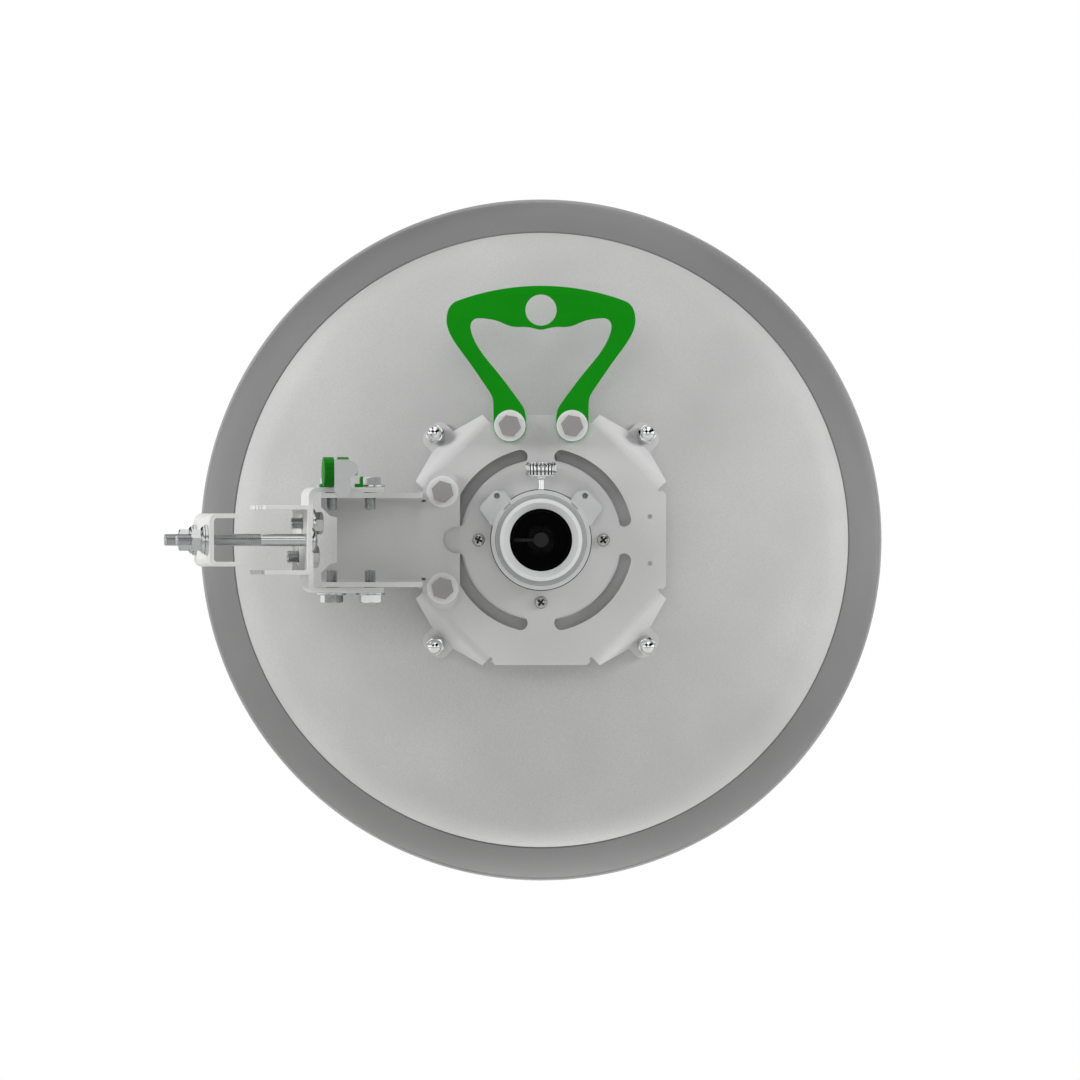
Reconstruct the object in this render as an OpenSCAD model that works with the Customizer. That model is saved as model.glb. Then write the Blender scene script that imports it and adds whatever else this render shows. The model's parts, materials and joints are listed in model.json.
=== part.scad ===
// Parabolic dish antenna with a twist-lock port and a two-axis pole mount.
// The boresight is +Y, up is +Z, and the origin is the centre of the port's mouth.

/* [Dish] */
// Focal length of the paraboloid
focal = 192; // [150:1:260]
// Radius where the paraboloid ends and the rolled shoulder starts
shoulder_r = 228; // [215:1:232]
// Outer radius of the front rim
rim_r = 275; // [272:1:285]
// Sheet thickness of the dish and of the skirt
dish_t = 2; // [1.5:0.1:3]
// Distance from the port's mouth to the flat middle of the dish
dish_y = 27; // [27:0.5:32]
// Where the straight part of the skirt ends
skirt_end_y = 212; // [190:1:240]

/* [Hub plate] */
// Half of the plate's width
hub_half = 101; // [98:0.5:104]
// Sheet thickness
hub_t = 3; // [2:0.5:3]
// Rear face of the hub plate
hub_y = 20; // [19:0.5:20]
// Distance of each cut corner from the centre
corner_u = 97.6; // [96:0.2:99]
// Distance from the centre where each corner leg starts to bend
bend_u = 95.4; // [94.8:0.2:95.8]
// Bend radius of the corner legs
bend_r = 9.1; // [8.5:0.1:9.5]
// Distance of each tab's nut from the centre
tab_u = 118; // [117:0.5:120]
// Mean radius of the four curved slots
slot_r = 69.1; // [66:0.1:72]
// Width of the four curved slots
slot_w = 11.4; // [8:0.2:12]

/* [Port] */
// Radius of the port's socket
port_r = 25.2; // [20:0.1:26]
// Depth of the port's socket
port_depth = 18; // [12:0.5:18]
// Outer radius of the lock ring
ring_r = 40.4; // [39.5:0.1:40.6]
// Circle of the three port screws
port_screw_r = 50.4; // [49:0.1:52]

/* [Handle] */
// Sheet thickness of the handle
handle_t = 4; // [3:0.5:4]
// Height of the handle's top edge over the port
handle_top = 205.4; // [200:0.2:212]
// Radius of the hoisting eye
eye_r = 12.55; // [8:0.05:13]

/* [Bolts] */
// Across flats of the M10 heads
m10_af = 16; // [15:0.5:16]
// Radius of an M10 shank
m10_r = 4.95; // [4.9:0.01:4.97]
// Height of an M10 head
m10_head = 6.4; // [5:0.1:7]
// Outer radius of the hub washers
hub_washer_r = 12.7; // [11:0.1:12.7]

/* [Arm and U bracket] */
// Sheet thickness of both
arm_t = 4; // [3:0.5:4]
// Half of the arm channel's height
arm_half = 38; // [36:0.5:38]
// Left end of the arm
arm_left = -177.5; // [-178:0.5:-176]
// Distance of the azimuth pivot from the port axis
pivot_x = -169; // [-170:0.5:-168]
// Azimuth pivot along the boresight
pivot_y = -11; // [-13:0.5:-10]
// Angle of the pole side to the dish at rest
yaw = 6.5; // [0:0.5:8]
// Half of the U bracket's height
u_half = 42.5; // [42.5:0.1:44]
// Width of the U bracket
u_w = 53; // [50:0.5:54]

/* [Pole clamp] */
// Outside diameter of the pole that the clamp is set for
pole_d = 50; // [44:1:52]
// Length of the two jaws
jaw_len = 110; // [106:1:112]
// Distance between the two carriage bolts
rod_gap = 84; // [82:1:86]
// Length of each carriage bolt
rod_len = 109; // [105:1:115]

/* [Hidden] */
$fn = 96;
e = 0.02;
fit = 0.05;
dish_v = dish_y - 2.5;
steps = 12;
shoulder_end = 75;
shoulder_top_r = 248;
skirt_start = 50;
skirt_end = 84;
skirt_foot_r = 249.2;
skirt_r = rim_r - 2.4;
hoop_r = 2.5;
radome_t = 3;
radome_rise = 16;
hub_hole_r = 41;
barrel_r = 36.6;
seal_r = port_r - 1.7;
leg_half = 38;
bend_a = 58.9;
relief_w = 2.6;
tab_half = 12.1;
side_share = 0.08;
tab_end_u = 127;
side_hole_r = 2.35;
foot_r = 13.2;
ear_hole = [35.6, 35.6];
arch_r = 195;
handle_bolt = [25.2, 92.3];
arm_bolt = [79.5, 39];
arm_near_y = pivot_y - 30;
lobe_r = 13.6;
lock_dx = 31;
az_half = 10;
u_web = -21.94;
u_right = 39.25;
el_pivot = [14, -13.5];
el_lock = [-14, 13.5];
el_half = 15;
web_gap = 0.36;
jaw_t = 3.5;
inner_half = 28;
outer_half = 21.4;
inner_tip = -60;
outer_tip = -80.6;
outer_web = -105.8;
outer_t = 3.8;
jaw_web = u_web - web_gap;
rod_r = 5;
vee_half = 60;
pole_x = inner_tip + 20 - pole_d / 2 / sin(vee_half);
screw_y = -34.5;
screw_z = 54.9;
wheel_r = 12.15;
nut_x = 5.1;
drive_r = 2.5;
drive_y = -20;
m6_r = 3;

// Back surface of the paraboloid: distance along the boresight at radius r
function dish_back(r) = dish_v + r * r / (4 * focal);
// Slope angle of the back surface at radius r
function dish_slope(r) = atan(r / (2 * focal));
// Points of an arc in [radius, boresight] that starts tangent to slope a0 and ends at slope a1
function roll(r0, y0, a0, a1, rho) = [for (i = [0:steps]) let (a = a0 + (a1 - a0) * i / steps)
    [r0 + rho * (sin(a) - sin(a0)), y0 + rho * (cos(a0) - cos(a))]];
// The same arc moved by t along its inward normal
function roll_in(r0, y0, a0, a1, rho, t) = [for (i = [0:steps]) let (a = a0 + (a1 - a0) * i / steps)
    [r0 + rho * (sin(a) - sin(a0)) - t * sin(a), y0 + rho * (cos(a0) - cos(a)) + t * cos(a)]];
function reversed(list) = [for (i = [len(list) - 1:-1:0]) list[i]];

// Turns a profile drawn in [radius, boresight] about the boresight
module revolve_y() { rotate([-90, 0, 0]) mirror([0, 1, 0]) rotate_extrude($fn = 160) children(); }
// Cylinders along the three axes
module cyl_y(r, y0, y1) { translate([0, y0, 0]) rotate([-90, 0, 0]) cylinder(r = r, h = y1 - y0); }
module cyl_x(r, x0, x1) { translate([x0, 0, 0]) rotate([0, 90, 0]) cylinder(r = r, h = x1 - x0); }
module cyl_z(r, z0, z1) { translate([0, 0, z0]) cylinder(r = r, h = z1 - z0); }
// Hexagonal prisms of an across-flats size
module hex_z(af, z0, z1) { translate([0, 0, z0]) cylinder(r = af / sqrt(3), h = z1 - z0, $fn = 6); }
module hex_y(af, y0, y1) { rotate([-90, 0, 0]) hex_z(af, y0, y1); }
module hex_x(af, x0, x1) { rotate([0, 90, 0]) hex_z(af, x0, x1); }
// Box between two corners
module block(a, b) { translate(a) cube(b - a); }
// Ring along Y
module ring_y(r_out, r_in, y0, y1) {
    difference() {
        cyl_y(r_out, y0, y1);
        cyl_y(r_in, y0 - 1, y1 + 1);
    }
}
module ring_x(r_out, r_in, x0, x1) {
    difference() {
        cyl_x(r_out, x0, x1);
        cyl_x(r_in, x0 - 1, x1 + 1);
    }
}
module ring_z(r_out, r_in, z0, z1) {
    difference() {
        cyl_z(r_out, z0, z1);
        cyl_z(r_in, z0 - 1, z1 + 1);
    }
}
// Everything on the pole side is turned by the yaw about the azimuth pivot
module pole_frame() { translate([pivot_x, pivot_y, 0]) rotate([0, 0, yaw]) children(); }
// Outline of a bent channel's back: a rectangle with two round corners at x = 0
module back_corners(depth, height, r) {
    translate([r, 0]) square([depth - r, height]);
    translate([0, r]) square([r + e, height - 2 * r]);
    translate([r, r]) circle(r);
    translate([r, height - r]) circle(r);
}
// Channel open towards +X, its back at x = 0, centred on Y and Z
module channel(depth, height, t, r, length) {
    rotate([90, 0, 0]) translate([0, -height / 2]) linear_extrude(length, center = true) difference() {
        back_corners(depth, height, r);
        translate([t, t]) back_corners(depth, height - 2 * t, r - t);
    }
}
// Four corners of the hub plate, or both signs of a height
module corners() { for (k = [0:3]) rotate([0, 45 + 90 * k, 0]) children(); }
module top_and_bottom() { for (k = [0, 1]) mirror([0, 0, k]) children(); }
module left_and_right() { for (k = [0, 1]) mirror([k, 0, 0]) children(); }
// On a corner tab, square to the dish at the nut
module on_tab() {
    translate([tab_u, dish_back(tab_u), 0]) rotate([0, 0, dish_slope(tab_u)]) children();
}

module reflector() {
    back = [for (i = [0:steps]) let (r = 44 + (shoulder_r - 44) * i / steps) [r, dish_back(r)]];
    front = [for (p = back) [p[0] - dish_t * sin(dish_slope(p[0])), p[1] + dish_t * cos(dish_slope(p[0]))]];
    a0 = dish_slope(shoulder_r);
    rho = (shoulder_top_r - shoulder_r) / (sin(shoulder_end) - sin(a0));
    color("gainsboro") revolve_y() polygon(concat([[29, dish_y]], back,
        roll(shoulder_r, dish_back(shoulder_r), a0, shoulder_end, rho),
        reversed(roll_in(shoulder_r, dish_back(shoulder_r), a0, shoulder_end, rho, dish_t)),
        reversed(front), [[29, dish_y + dish_t]]));
}
function crease_y() = let (a0 = dish_slope(shoulder_r))
    dish_back(shoulder_r) + (shoulder_top_r - shoulder_r) / (sin(shoulder_end) - sin(a0))
    * (cos(a0) - cos(shoulder_end)) + 0.7;
module shroud() {
    rho = (skirt_r - skirt_foot_r) / (sin(skirt_end) - sin(skirt_start));
    color("silver") revolve_y() polygon(concat([[238, crease_y()]],
        roll(skirt_foot_r, crease_y(), skirt_start, skirt_end, rho),
        [[skirt_r, skirt_end_y], [skirt_r - dish_t, skirt_end_y]],
        reversed(roll_in(skirt_foot_r, crease_y(), skirt_start, skirt_end, rho, dish_t)),
        [[238, crease_y() + dish_t]]));
}
module rim_hoop() {
    color("white") revolve_y() translate([rim_r - hoop_r, skirt_end_y + hoop_r + e]) circle(hoop_r, $fn = 24);
}
module radome() {
    edge = rim_r - 2 * hoop_r - 0.4;
    outer = [for (i = [0:steps]) let (a = 90 * i / steps)
        [edge * cos(a), skirt_end_y + 4 + radome_rise * pow(sin(a), 2)]];
    inner = [for (p = outer) [p[0], p[1] - radome_t]];
    color("whitesmoke") revolve_y() polygon(concat(outer, reversed(inner)));
}

// One corner's bent leg and its tab, drawn for the corner at +X
module leg() {
    mid = hub_y + hub_t / 2;
    rise = tan(dish_slope(tab_u));
    bend_end = [bend_u + bend_r * sin(bend_a), mid + bend_r * (1 - cos(bend_a))];
    foot_s = (dish_back(tab_u) - (tab_u - bend_end[0]) * rise - hub_t / 2 - 0.15 - bend_end[1])
        / (sin(bend_a) - rise * cos(bend_a));
    side_s = foot_s * side_share;
    foot_u = bend_end[0] + foot_s * cos(bend_a);
    translate([bend_u, mid + bend_r, -leg_half]) rotate([0, 0, -90]) rotate_extrude(angle = bend_a, $fn = 160)
        translate([bend_r - hub_t / 2, 0]) square([hub_t, 2 * leg_half]);
    translate([bend_end[0], bend_end[1], 0]) rotate([0, 0, bend_a]) rotate([-90, 0, 0])
        linear_extrude(hub_t - 2 * e, center = true) polygon([[-0.5, e - leg_half], [side_s, e - leg_half],
            [foot_s, -tab_half], [foot_s, tab_half], [side_s, leg_half - e], [-0.5, leg_half - e]]);
    translate([foot_u, bend_end[1] + foot_s * sin(bend_a), 0]) {
        cylinder(r = hub_t / 2 - 0.03, h = 2 * tab_half - 0.4, center = true);
        rotate([0, 0, dish_slope(tab_u)]) rotate([-90, 0, 0]) linear_extrude(hub_t, center = true)
            tab_outline((tab_end_u - foot_u) / cos(dish_slope(tab_u)), 8.5);
    }
}
module tab_outline(length, r) {
    translate([0, -tab_half]) square([length - r, 2 * tab_half]);
    translate([0, -tab_half + r]) square([length, 2 * (tab_half - r)]);
    for (s = [-1, 1]) translate([length - r, s * (tab_half - r)]) circle(r);
}
// A curved slot about the boresight, from angle a0 to a1
module arc_slot(r, w, a0, a1, y0, y1) {
    translate([0, y1, 0]) rotate([90, 0, 0]) rotate([0, 0, a0]) rotate_extrude(angle = a1 - a0, $fn = 160)
        translate([r - w / 2, 0]) square([w, y1 - y0]);
    for (a = [a0, a1]) rotate([0, -a, 0]) translate([r, 0, 0]) cyl_y(w / 2, y0, y1);
}
module hub_plate() {
    color("gainsboro") difference() {
        union() {
            intersection() {
                block([-hub_half, hub_y, -hub_half], [hub_half, hub_y + hub_t, hub_half]);
                rotate([0, 45, 0]) difference() {
                    block([-corner_u, hub_y, -corner_u], [corner_u, hub_y + hub_t, corner_u]);
                    for (k = [0:3]) rotate([0, 90 * k, 0]) block([bend_u, hub_y - 1, -leg_half - relief_w],
                        [corner_u + 1, hub_y + hub_t + 1, leg_half + relief_w]);
                }
            }
            corners() leg();
        }
        cyl_y(hub_hole_r, hub_y - 1, hub_y + hub_t + 1);
        for (k = [0:3]) rotate([0, 90 * k, 0]) arc_slot(slot_r, slot_w, 13.8, 76.2, hub_y - 1, hub_y + hub_t + 1);
        corners() on_tab() cyl_y(4.5, -8, 4);
        for (a = [0, 90, 180]) rotate([0, a, 0]) translate([port_screw_r, 0, 0]) cyl_y(2.7, 15, 26);
        left_and_right() translate([ear_hole[0], 0, ear_hole[1]]) cyl_y(side_hole_r, 15, 26);
        for (s = [-1, 1]) translate([88, 0, 19 * s]) cyl_y(1.95, 15, 26);
        left_and_right() translate([handle_bolt[0], 0, handle_bolt[1]]) cyl_y(5.25, 15, 26);
        for (s = [-1, 1]) translate([-arm_bolt[0], 0, s * arm_bolt[1]]) cyl_y(5.25, 15, 26);
    }
}
module hub_studs() { color("silver") corners() on_tab() cyl_y(3.9, -13, -0.1); }
module stud_washers() { color("silver") corners() on_tab() ring_y(6.6, 4.3, -hub_t - 1.8, -hub_t - 0.2); }
module dome_nuts() {
    seat = -hub_t - 1.85;
    dome_r = 6.1;
    color("silver") corners() on_tab() difference() {
        union() {
            hex_y(13, seat - 6.5, seat);
            rotate([90, 0, 0]) rotate_extrude() polygon(concat([[0, 6 - seat], [dome_r, 6 - seat]],
                [for (i = [0:10]) [dome_r * cos(9 * i), 8.5 - seat + dome_r * sin(9 * i)]]));
        }
        cyl_y(3.95, -14, 0);
    }
}

module feed_hub() {
    nose = dish_y + 9;
    color("lightgray") revolve_y() polygon([[port_r, 0], [port_r + 5, -4], [33.3, -4], [33.3, -2.5],
            [barrel_r, -2.5], [barrel_r, dish_y - 0.1], [28, dish_y - 0.1], [28, nose], [14.1, nose], [14.1, dish_y],
            [11.5, dish_y], [11.5, 24], [15.3, 24], [15.3, 22], [22.2, 22], [22.2, port_depth + 2.15],
            [seal_r + 1.1, port_depth + 2.15], [seal_r + 1.1, port_depth], [port_r, port_depth]]);
}
// Ring behind the hub plate that the port screws pull against
module feed_flange() {
    color("lightgray") difference() {
        ring_y(65, barrel_r + fit, hub_y + hub_t + 0.1, dish_y - 0.1);
        for (a = [0, 90, 180]) rotate([0, a, 0]) translate([port_screw_r, 0, 0]) cyl_y(2.5, 15, 30);
    }
}
module port_seal() { color("black") revolve_y() translate([seal_r, port_depth + 1.08]) circle(1, $fn = 24); }
module feed_pin() {
    color("dimgray") union() {
        cyl_y(6.1, 18.9, 21.9);
        translate([-22, 19.9, 0]) rotate([0, 90, 0]) cylinder(r1 = 1.9, r2 = 1.2, h = 17, $fn = 32);
    }
}
module feed_tube() { color("silver") ring_y(14, 11.5, dish_y + 0.1, 182); }
module feed_cone() {
    color("white") revolve_y() polygon([[0, 170], [11.4, 170], [11.4, 182.1], [15, 182.1], [30, 203], [0, 203]]);
}
module subreflector() { color("silver") revolve_y() polygon([[0, 203.1], [31, 203.1], [31, 206], [0, 209]]); }
// A pan-head screw with a cross recess
module pan_screw() {
    difference() {
        union() {
            cyl_y(2.45, 16, 26.5);
            translate([0, 22.3, 0]) intersection() {
                sphere(6.9);
                cyl_y(5.2, -5.8, -2.35);
            }
        }
        for (a = [45, 135]) rotate([0, a, 0]) block([-2.4, 16, -0.45], [2.4, 18, 0.45]);
    }
}
module port_screws() {
    color("silver") for (a = [0, 90, 180]) rotate([0, a, 0]) translate([port_screw_r, 0, 0]) pan_screw();
}

// One ear of the lock ring: a rounded plate that grips the ring
module ear() {
    difference() {
        translate([0, 15.5, 0]) rotate([90, 0, 0]) linear_extrude(4.5) union() {
            polygon([[23, 31], [28.9, 38.9], [34.6, 40.1], [38.7, 38.8], [47.9, 28.6], [48.9, 24.4],
                [41.2, 12.9], [37, 10]]);
            translate([44.7, 25.8]) circle(4.4);
            translate(ear_hole) circle(4.5);
        }
        cyl_y(ring_r - 2, 10, 17);
        translate([ear_hole[0], 0, ear_hole[1]]) cyl_y(side_hole_r, 10, 17);
    }
}
module lock_ring() {
    color("silver") difference() {
        union() {
            ring_y(ring_r, 36.9, -2, hub_y - 0.6);
            left_and_right() ear();
        }
        translate([0, 6, 0]) cyl_z(2.9, 30, 45);
        for (a = [45, 135]) rotate([0, -a, 0]) block([37.6, -3, -3.4], [39.4, -0.5, 3.4]);
    }
}
module thumb_collar() { color("silver") translate([0, 6, 0]) ring_z(4.7, 2.95, 48.5, 50.8); }
module thumb_screw() {
    color("silver") translate([0, 6, 0]) difference() {
        union() {
            cyl_z(2.85, 37, 52);
            cyl_z(11.6, 51, 52.3);
            cyl_z(12.7, 52.2, 61.8);
            cyl_z(11.6, 61.7, 63);
        }
        for (k = [0:23]) rotate([0, 0, 15 * k]) translate([13, 0, 0]) cyl_z(0.9, 50, 64);
    }
}

// Left half of the handle's outline in [x, z], from the top of the arch to the foot and back
module handle_half() {
    foot = handle_bolt[1];
    arch = [for (x = [0:11:66]) [-x, handle_top - arch_r + sqrt(arch_r * arch_r - x * x)]];
    difference() {
        union() {
            polygon(concat(arch, [[-71.5, handle_top - 14], [-75.3, handle_top - 19.5], [-76.6, 178],
                [-75.8, 172], [-73, 165], [-68, 157], [-57.3, 142.7],
                [-46, 126.2], [-40.5, 118.2], [-38.9, 114], [-38.4, 109], [-38.4, foot], [-12, foot],
                [-12.4, 102], [-14.2, 107.6], [-21.6, 117.7], [-33.5, 133.7], [-45.5, 147.8], [-52.3, 158],
                [-56, 166.5],
                [-57.1, 172], [-56.3, 176], [-53.6, 178.6], [-50, 179.2], [-40.9, 178.4], [-34.1, 176.6],
                [-26.2, 173], [-20, 171.8], [-12.6, 172.2], [-5.8, 171], [0, 169.4]]));
            translate([-handle_bolt[0], foot]) circle(foot_r);
        }
        translate([-handle_bolt[0], foot]) circle(5.25);
    }
}
module handle() {
    color("forestgreen") difference() {
        translate([0, hub_y - 0.05, 0]) rotate([90, 0, 0]) linear_extrude(handle_t - 0.05) union() {
            handle_half();
            mirror([1, 0]) handle_half();
        }
        translate([0, 0, 185.7]) cyl_y(eye_r, 10, 26);
    }
}
// An M10 bolt whose head faces the rear, with its washer's seat at y
module hub_bolt(y) {
    hex_y(m10_af, y - m10_head, y);
    cyl_y(m10_r, y - 1, 30.5);
}
module at_handle_bolts() { left_and_right() translate([handle_bolt[0], 0, handle_bolt[1]]) children(); }
module at_arm_bolts() { for (s = [-1, 1]) translate([-arm_bolt[0], 0, s * arm_bolt[1]]) children(); }
module handle_bolts() { color("gray") at_handle_bolts() rotate([0, 10, 0]) hub_bolt(13.9); }
module handle_washers() { color("lightgray") at_handle_bolts() ring_y(hub_washer_r, 5.1, 14, 15.95); }
module arm_bolts() { color("gray") at_arm_bolts() rotate([0, 17, 0]) hub_bolt(13.9); }
module arm_washers() { color("lightgray") at_arm_bolts() ring_y(hub_washer_r, 5.1, 14, 15.85); }
module hub_nuts() {
    color("silver") for (k = [0, 1]) {
        if (k == 0) at_handle_bolts() hub_nut();
        else at_arm_bolts() hub_nut();
    }
}
module hub_nut() {
    difference() {
        hex_y(m10_af, hub_y + hub_t + 0.1, 29);
        cyl_y(m10_r + fit, 22, 31);
    }
}

module arm() {
    web0 = hub_y - 0.1 - arm_t;
    color("gainsboro") difference() {
        union() {
            translate([(arm_left - 95.5) / 2, web0 + arm_t, 0]) rotate([0, 0, -90])
                channel(web0 + arm_t - arm_near_y, 2 * arm_half, arm_t, 6, -95.5 - arm_left);
            block([-95.6, web0, -arm_half - 4], [-65.5, web0 + arm_t, arm_half + 4]);
            for (s = [-1, 1]) translate([-79.3, 0, s * (arm_half + 4)]) cyl_y(lobe_r, web0, web0 + arm_t);
        }
        translate([-68.3, 0, 0]) cyl_y(10.7, 0, 26);
        for (s = [-1, 1]) translate([-94.7, 0, s * 31.5]) block([-1.6, web0 - 1, -1], [1.6, 26, 1]);
        translate([0, 25, 0]) rotate([90, 0, 0]) linear_extrude(12) polygon([[arm_left - 1, -26.5],
            [arm_left, -26.5], [-170.5, -19.4], [-164.7, -18.2], [-164.7, 18.2], [-170.5, 19.4], [arm_left, 26.5],
            [arm_left - 1, 26.5]]);
        at_arm_bolts() cyl_y(5.25, 10, 26);
        top_and_bottom() for (dx = [0, lock_dx]) translate([pivot_x + dx, pivot_y, 0]) cyl_z(8, 30, 45);
        at_drive_pin() cyl_z(drive_r + fit, 30, 40);
    }
}
module arm_bushes() {
    color("silver") top_and_bottom() for (dx = [0, lock_dx]) translate([pivot_x + dx, pivot_y, 0])
        ring_z(7.97, m10_r + fit, arm_half - arm_t, arm_half);
}
// Both vertical bolts of one flange stand in the arm and reach through the U bracket
module flange_bolt() {
    hex_z(m10_af, u_half + 2.1, u_half + 2.1 + m10_head);
    cyl_z(m10_r, 24.4, u_half + 3);
}
module azimuth_pivot_bolts() {
    color("gray") top_and_bottom() translate([pivot_x, pivot_y, 0]) rotate([0, 0, 8]) flange_bolt();
}
module azimuth_lock_bolts() {
    color("gray") top_and_bottom() translate([pivot_x + lock_dx, pivot_y, 0]) rotate([0, 0, 20]) flange_bolt();
}
module azimuth_washers() {
    color("lightgray") top_and_bottom() for (dx = [0, lock_dx]) translate([pivot_x + dx, pivot_y, 0])
        ring_z(12, 5.2, u_half + 0.1, u_half + 2.05);
}
module at_drive_pin() { pole_frame() translate([nut_x, drive_y, 0]) children(); }
module drive_pin() { color("silver") at_drive_pin() cyl_z(drive_r, arm_half - arm_t, 58); }

// Sweep of a carriage bolt's head across the U bracket's web while the elevation turns
module head_path(y) {
    for (k = [-3:3]) translate([0, el_pivot[0], el_pivot[1]]) rotate([el_half / 3 * k, 0, 0])
        translate([0, y - el_pivot[0], -el_pivot[1]]) cyl_x(11, u_web - 1, u_web + arm_t + 1);
}
module u_bracket() {
    slot_len = norm(el_lock - el_pivot);
    slot_a = atan2(el_lock[1] - el_pivot[1], el_lock[0] - el_pivot[0]);
    color("gainsboro") pole_frame() difference() {
        translate([u_web, 0, 0]) channel(u_right - u_web, 2 * u_half, arm_t, 7.5, u_w);
        top_and_bottom() cyl_z(m10_r + fit, 35, 45);
        top_and_bottom() rotate([0, 0, -az_half - 1]) translate([0, 0, 35])
            rotate_extrude(angle = 2 * az_half + 2) translate([lock_dx - 5.4, 0]) square([10.8, 10]);
        top_and_bottom() for (s = [-1, 1]) rotate([0, 0, s * (az_half + 1)]) translate([lock_dx, 0, 0])
            cyl_z(5.4, 35, 45);
        block([0.9, drive_y - 3.6, 35], [13.7, drive_y + 5.4, 45]);
        translate([0, el_pivot[0], el_pivot[1]]) cyl_x(m10_r + fit, u_web - 1, u_web + 6);
        translate([u_web - 1, el_pivot[0], el_pivot[1]]) rotate([90, 0, 90]) {
            rotate([0, 0, slot_a - el_half - 1]) rotate_extrude(angle = 2 * el_half + 2)
                translate([slot_len - 5.4, 0]) square([10.8, arm_t + 2]);
            for (s = [-1, 1]) rotate([0, 0, slot_a + s * (el_half + 1)]) translate([slot_len, 0, 0])
                cylinder(r = 5.4, h = arm_t + 2);
        }
        for (s = [-1, 1]) head_path(s * rod_gap / 2);
    }
}

// Fine adjuster: a screw along the U bracket drives a nut that pushes the arm's pin
module adjuster_frame() {
    color("silver") pole_frame() difference() {
        union() {
            block([-1.8, -49.5, u_half + 0.2], [-0.6, -24.2, 62]);
            block([-1.8, -25, u_half + 0.1], [-0.6, -13, 50]);
            block([-13, -23, u_half + 0.1], [-1.7, -13, u_half + 2.2]);
            block([-3.3, -50, 41], [9.8, -47, 65]);
            translate([3.25, 0, 41]) cyl_y(6.5, -50, -47);
            translate([9, 0, 57.6]) cyl_y(6.5, -50, -47);
        }
        translate([0, screw_y, screw_z]) cyl_x(m6_r + fit, -3, 2);
    }
}
module index_strip() {
    color("forestgreen") pole_frame() union() {
        block([-12.2, -26.3, u_half + 0.1], [-2.1, -23.9, u_half + 2.9]);
        block([15.9, -26.3, u_half + 0.1], [22.6, -23.9, u_half + 2.9]);
        block([20.4, -26.3, u_half + 2.8], [22.6, -23.9, 51.3]);
    }
}
module adjuster_nut() {
    color("forestgreen") pole_frame() difference() {
        union() {
            translate([0, screw_y, screw_z]) cyl_x(wheel_r, nut_x - 4.2, nut_x + 4.2);
            block([nut_x - 4.2, -30, 50], [nut_x + 4.2, -15.5, 60]);
        }
        translate([0, screw_y, screw_z]) cyl_x(m6_r + fit, nut_x - 6, nut_x + 6);
        block([nut_x - drive_r - 0.4, -23.6, 49], [nut_x + drive_r + 0.4, -15, 58.6]);
    }
}
module thrust_washer() {
    color("black") pole_frame() translate([0, screw_y, screw_z]) ring_x(10.5, m6_r + 0.2, -2.45, -1.9);
}
module adjuster_wheel() {
    color("forestgreen") pole_frame() translate([0, screw_y, screw_z]) difference() {
        cyl_x(wheel_r, -11.1, -2.5);
        for (k = [0:17]) rotate([20 * k, 0, 0]) translate([0, wheel_r + 0.5, 0]) cyl_x(1.1, -12, -2);
        cyl_x(m6_r, -10, -2);
    }
}
module adjuster_screw() { color("silver") pole_frame() translate([0, screw_y, screw_z]) cyl_x(m6_r - e, -9.9, 17); }

// Notch in a jaw's flanges: a wide V that opens towards the pole, with teeth along both sides
module vee(apex_x, dir) {
    side = 60;
    translate([apex_x, 0, -40]) linear_extrude(80) {
        polygon([[0, 0], [dir * side * cos(vee_half), side * sin(vee_half)],
            [dir * side * cos(vee_half), -side * sin(vee_half)]]);
        for (s = [-1, 1]) for (k = [1:9])
            translate([dir * 4 * k * cos(vee_half), s * 4 * k * sin(vee_half)]) rotate(45) square(1.8, center = true);
    }
}
module inner_jaw() {
    color("gainsboro") pole_frame() difference() {
        translate([jaw_web, 0, 0]) mirror([1, 0, 0])
            channel(jaw_web - inner_tip, 2 * inner_half, jaw_t, 5, jaw_len);
        vee(inner_tip + 20, -1);
        for (s = [-1, 1]) translate([0, s * rod_gap / 2, 0]) cyl_x(rod_r + 0.3, jaw_web - 10, jaw_web + 1);
        for (p = [el_pivot, el_lock]) translate([0, p[0], p[1]]) cyl_x(8, jaw_web - 10, jaw_web + 1);
    }
}
module jaw_bushes() {
    color("silver") pole_frame() for (p = [el_pivot, el_lock]) translate([0, p[0], p[1]])
        ring_x(7.97, m10_r + fit, jaw_web - jaw_t, jaw_web);
}
module elevation_bolts() {
    head = u_web + arm_t + 2.6;
    color("gray") pole_frame() for (p = [el_pivot, el_lock]) translate([0, p[0], p[1]]) rotate([12, 0, 0]) {
        hex_x(m10_af, head, head + m10_head);
        cyl_x(m10_r, -34.8, head + 1);
    }
}
module elevation_washers() {
    color("lightgray") pole_frame() for (p = [el_pivot, el_lock]) translate([0, p[0], p[1]])
        ring_x(11.5, 5.2, u_web + arm_t + 0.1, u_web + arm_t + 2.55);
}
module carriage_bolts() {
    color("silver") pole_frame() for (s = [-1, 1]) translate([0, s * rod_gap / 2, 0]) {
        cyl_x(rod_r, jaw_web - rod_len, jaw_web + 1);
        translate([jaw_web + e, 0, 0]) rotate([0, 90, 0]) rotate_extrude() polygon(concat([[0, 0], [10.2, 0]],
            [for (i = [0:8]) let (a = 11.25 * i) [10.2 * cos(a), 1.2 + 4.8 * sin(a)]]));
    }
}
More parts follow.
